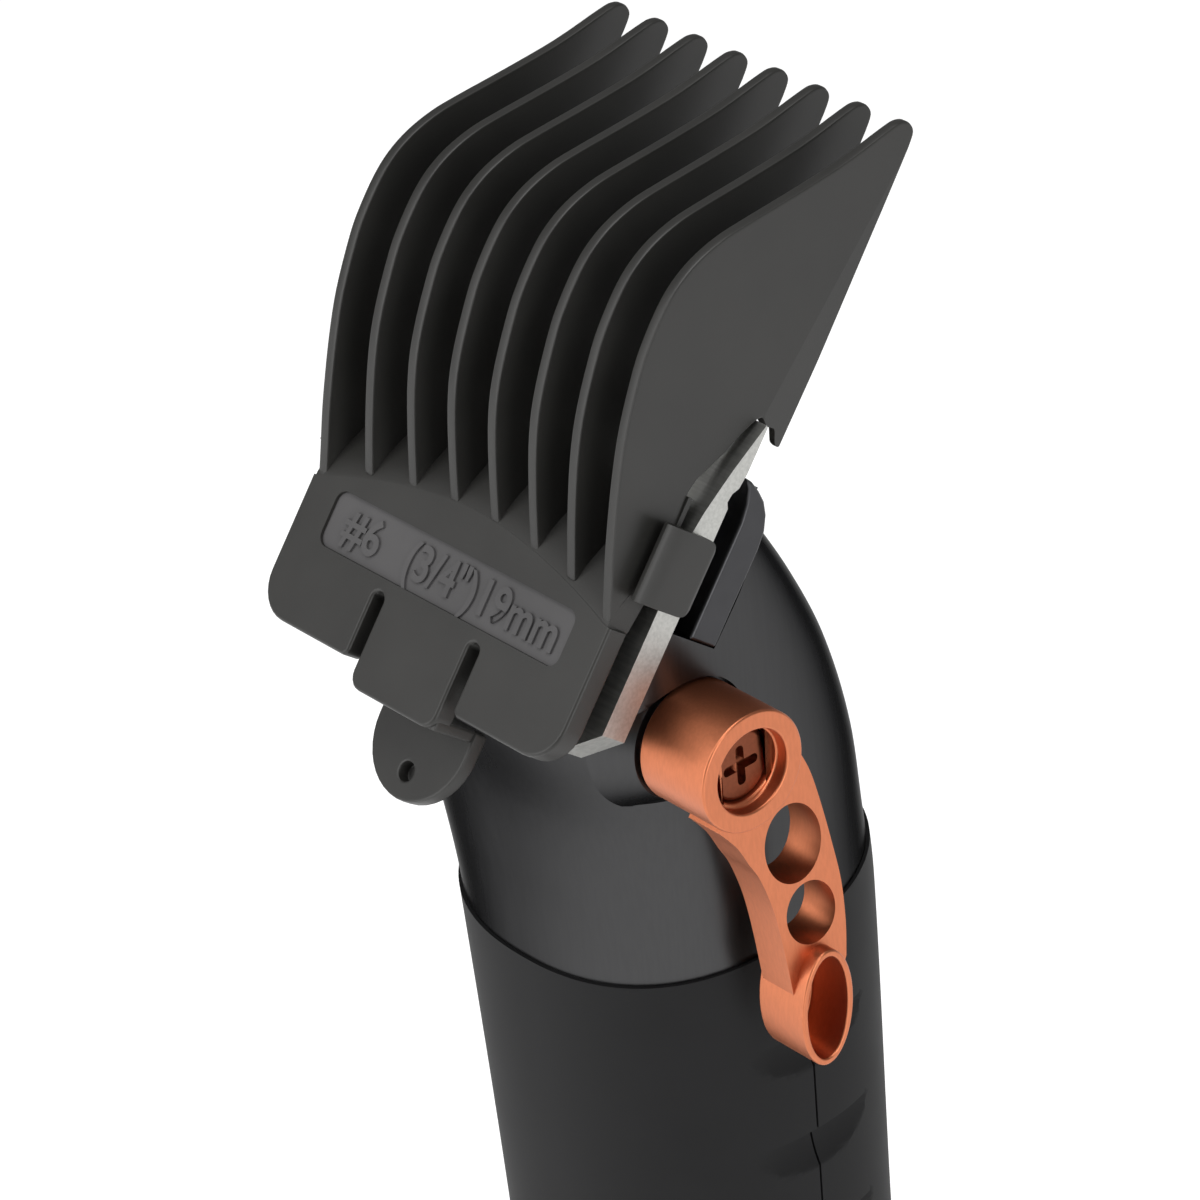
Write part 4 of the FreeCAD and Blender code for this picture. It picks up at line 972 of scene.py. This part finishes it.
# %% Lever shapes
ARM_IN, ARM_OUT = 24.9, 29.3
HUB_RADIUS, HUB_IN, HUB_FACE = 6.15, 21.05, 30.07
ARM_FRONT = [(-16.0, 136.1), (-14.1, 133.6), (-12.8, 131.0), (-11.72, 128.9), (-10.58, 125.3),
             (-9.92, 121.9), (-9.44, 118.3), (-8.99, 114.35)]
ARM_REAR = [(-2.05, 115.4), (-1.76, 119.3), (-1.9, 124.0), (-2.6, 128.5), (-3.4, 132.8), (-4.2, 136.4),
            (-4.9, 138.6), (-5.95, 140.9)]
CUP = (-6.07, 112.0, 6.3, 3.25, -5.0)  # y, z, long radius, short radius, tilt
CUP_IN, CUP_FLOOR, CUP_FACE, CUP_WALL = 24.4, 25.6, 30.8, 0.7
WINDOWS = [(-7.36, 130.8, 4.5, 3.42, 13.0), (-5.93, 122.3, 3.65, 2.95, 20.0)]


def oval(name, start, end, y, z, long_radius, short_radius, tilt, count=72):
    """An elliptical prism along X; its long axis leans from +Z towards +Y."""
    lean = math.radians(tilt)
    points = []
    for k in range(count):
        a = math.tau * k / count
        up, aside = long_radius * math.cos(a), short_radius * math.sin(a)
        points.append((start, y - up * math.sin(lean) + aside * math.cos(lean),
                       z + up * math.cos(lean) + aside * math.sin(lean)))
    return plate_from(name, points, end - start, (1, 0, 0))


def cup_oval(name, start, end, smaller):
    """The cup's oval, smaller all round by the given amount."""
    y, z, long_radius, short_radius, tilt = CUP
    return oval(name, start, end, y, z, long_radius - smaller, short_radius - smaller, tilt)


# %% Lever
RECESS_RADIUS, RECESS_STEP_AT, WELL_RADIUS, WELL_AT = 4.25, 28.6, 3.75, 26.4
edge = spline(ARM_FRONT, 4) + [(-7.6, 112.2), (-3.6, 112.2)] + spline(ARM_REAR, 4) + [(LEVER_Y, LEVER_Z)]
lever = plate_from("lever", [(ARM_IN, y, z) for y, z in edge], ARM_OUT - ARM_IN, (1, 0, 0))
for count, window in enumerate(WINDOWS):
    carve(lever, oval(f"window_{count}", ARM_IN - 3, ARM_OUT + 3, *window))
soften(lever, 0.5, 3, 40.0)
carve(lever, along_x("hub_room", 5.2, 20, 40), cup_oval("cup_room", 20, 40, 0.4))
hub = along_x("hub", HUB_RADIUS, HUB_IN, HUB_FACE, 128)
carve(hub, along_x("hub_step", RECESS_RADIUS, RECESS_STEP_AT, 40),
      along_x("hub_well", WELL_RADIUS, WELL_AT, 40))
soften(hub, 0.28, 3, 40.0)
cup = carve(cup_oval("cup", CUP_IN, CUP_FACE, 0.0), cup_oval("dish", CUP_FLOOR, 40, CUP_WALL))
soften(cup, 0.22, 3, 40.0)
weld(lever, hub, cup)
place(lever, "lever", COPPER, ["taper_lever"], smooth=35.0)

# %% Lever screw
CROSS_REACH, CROSS_HALF = 2.1, 0.5
screw = along_x("lever_screw_head", 3.7, 26.38, 28.3, 64)
soften(screw, 0.55, 3, 40.0)
for dy, dz in ((CROSS_REACH, CROSS_HALF), (CROSS_HALF, CROSS_REACH)):
    lobe = box_mm("screw_lobe", (27.1, LEVER_Y - dy, LEVER_Z - dz), (31.0, LEVER_Y + dy, LEVER_Z + dz))
    carve(screw, soften(lobe, 0.45, 3, 40.0))
weld(screw, along_x("screw_shank", 1.5, 19, 26.6, 32))
place(screw, "lever", COPPER_DARK, ["lever_screw"], smooth=35.0)
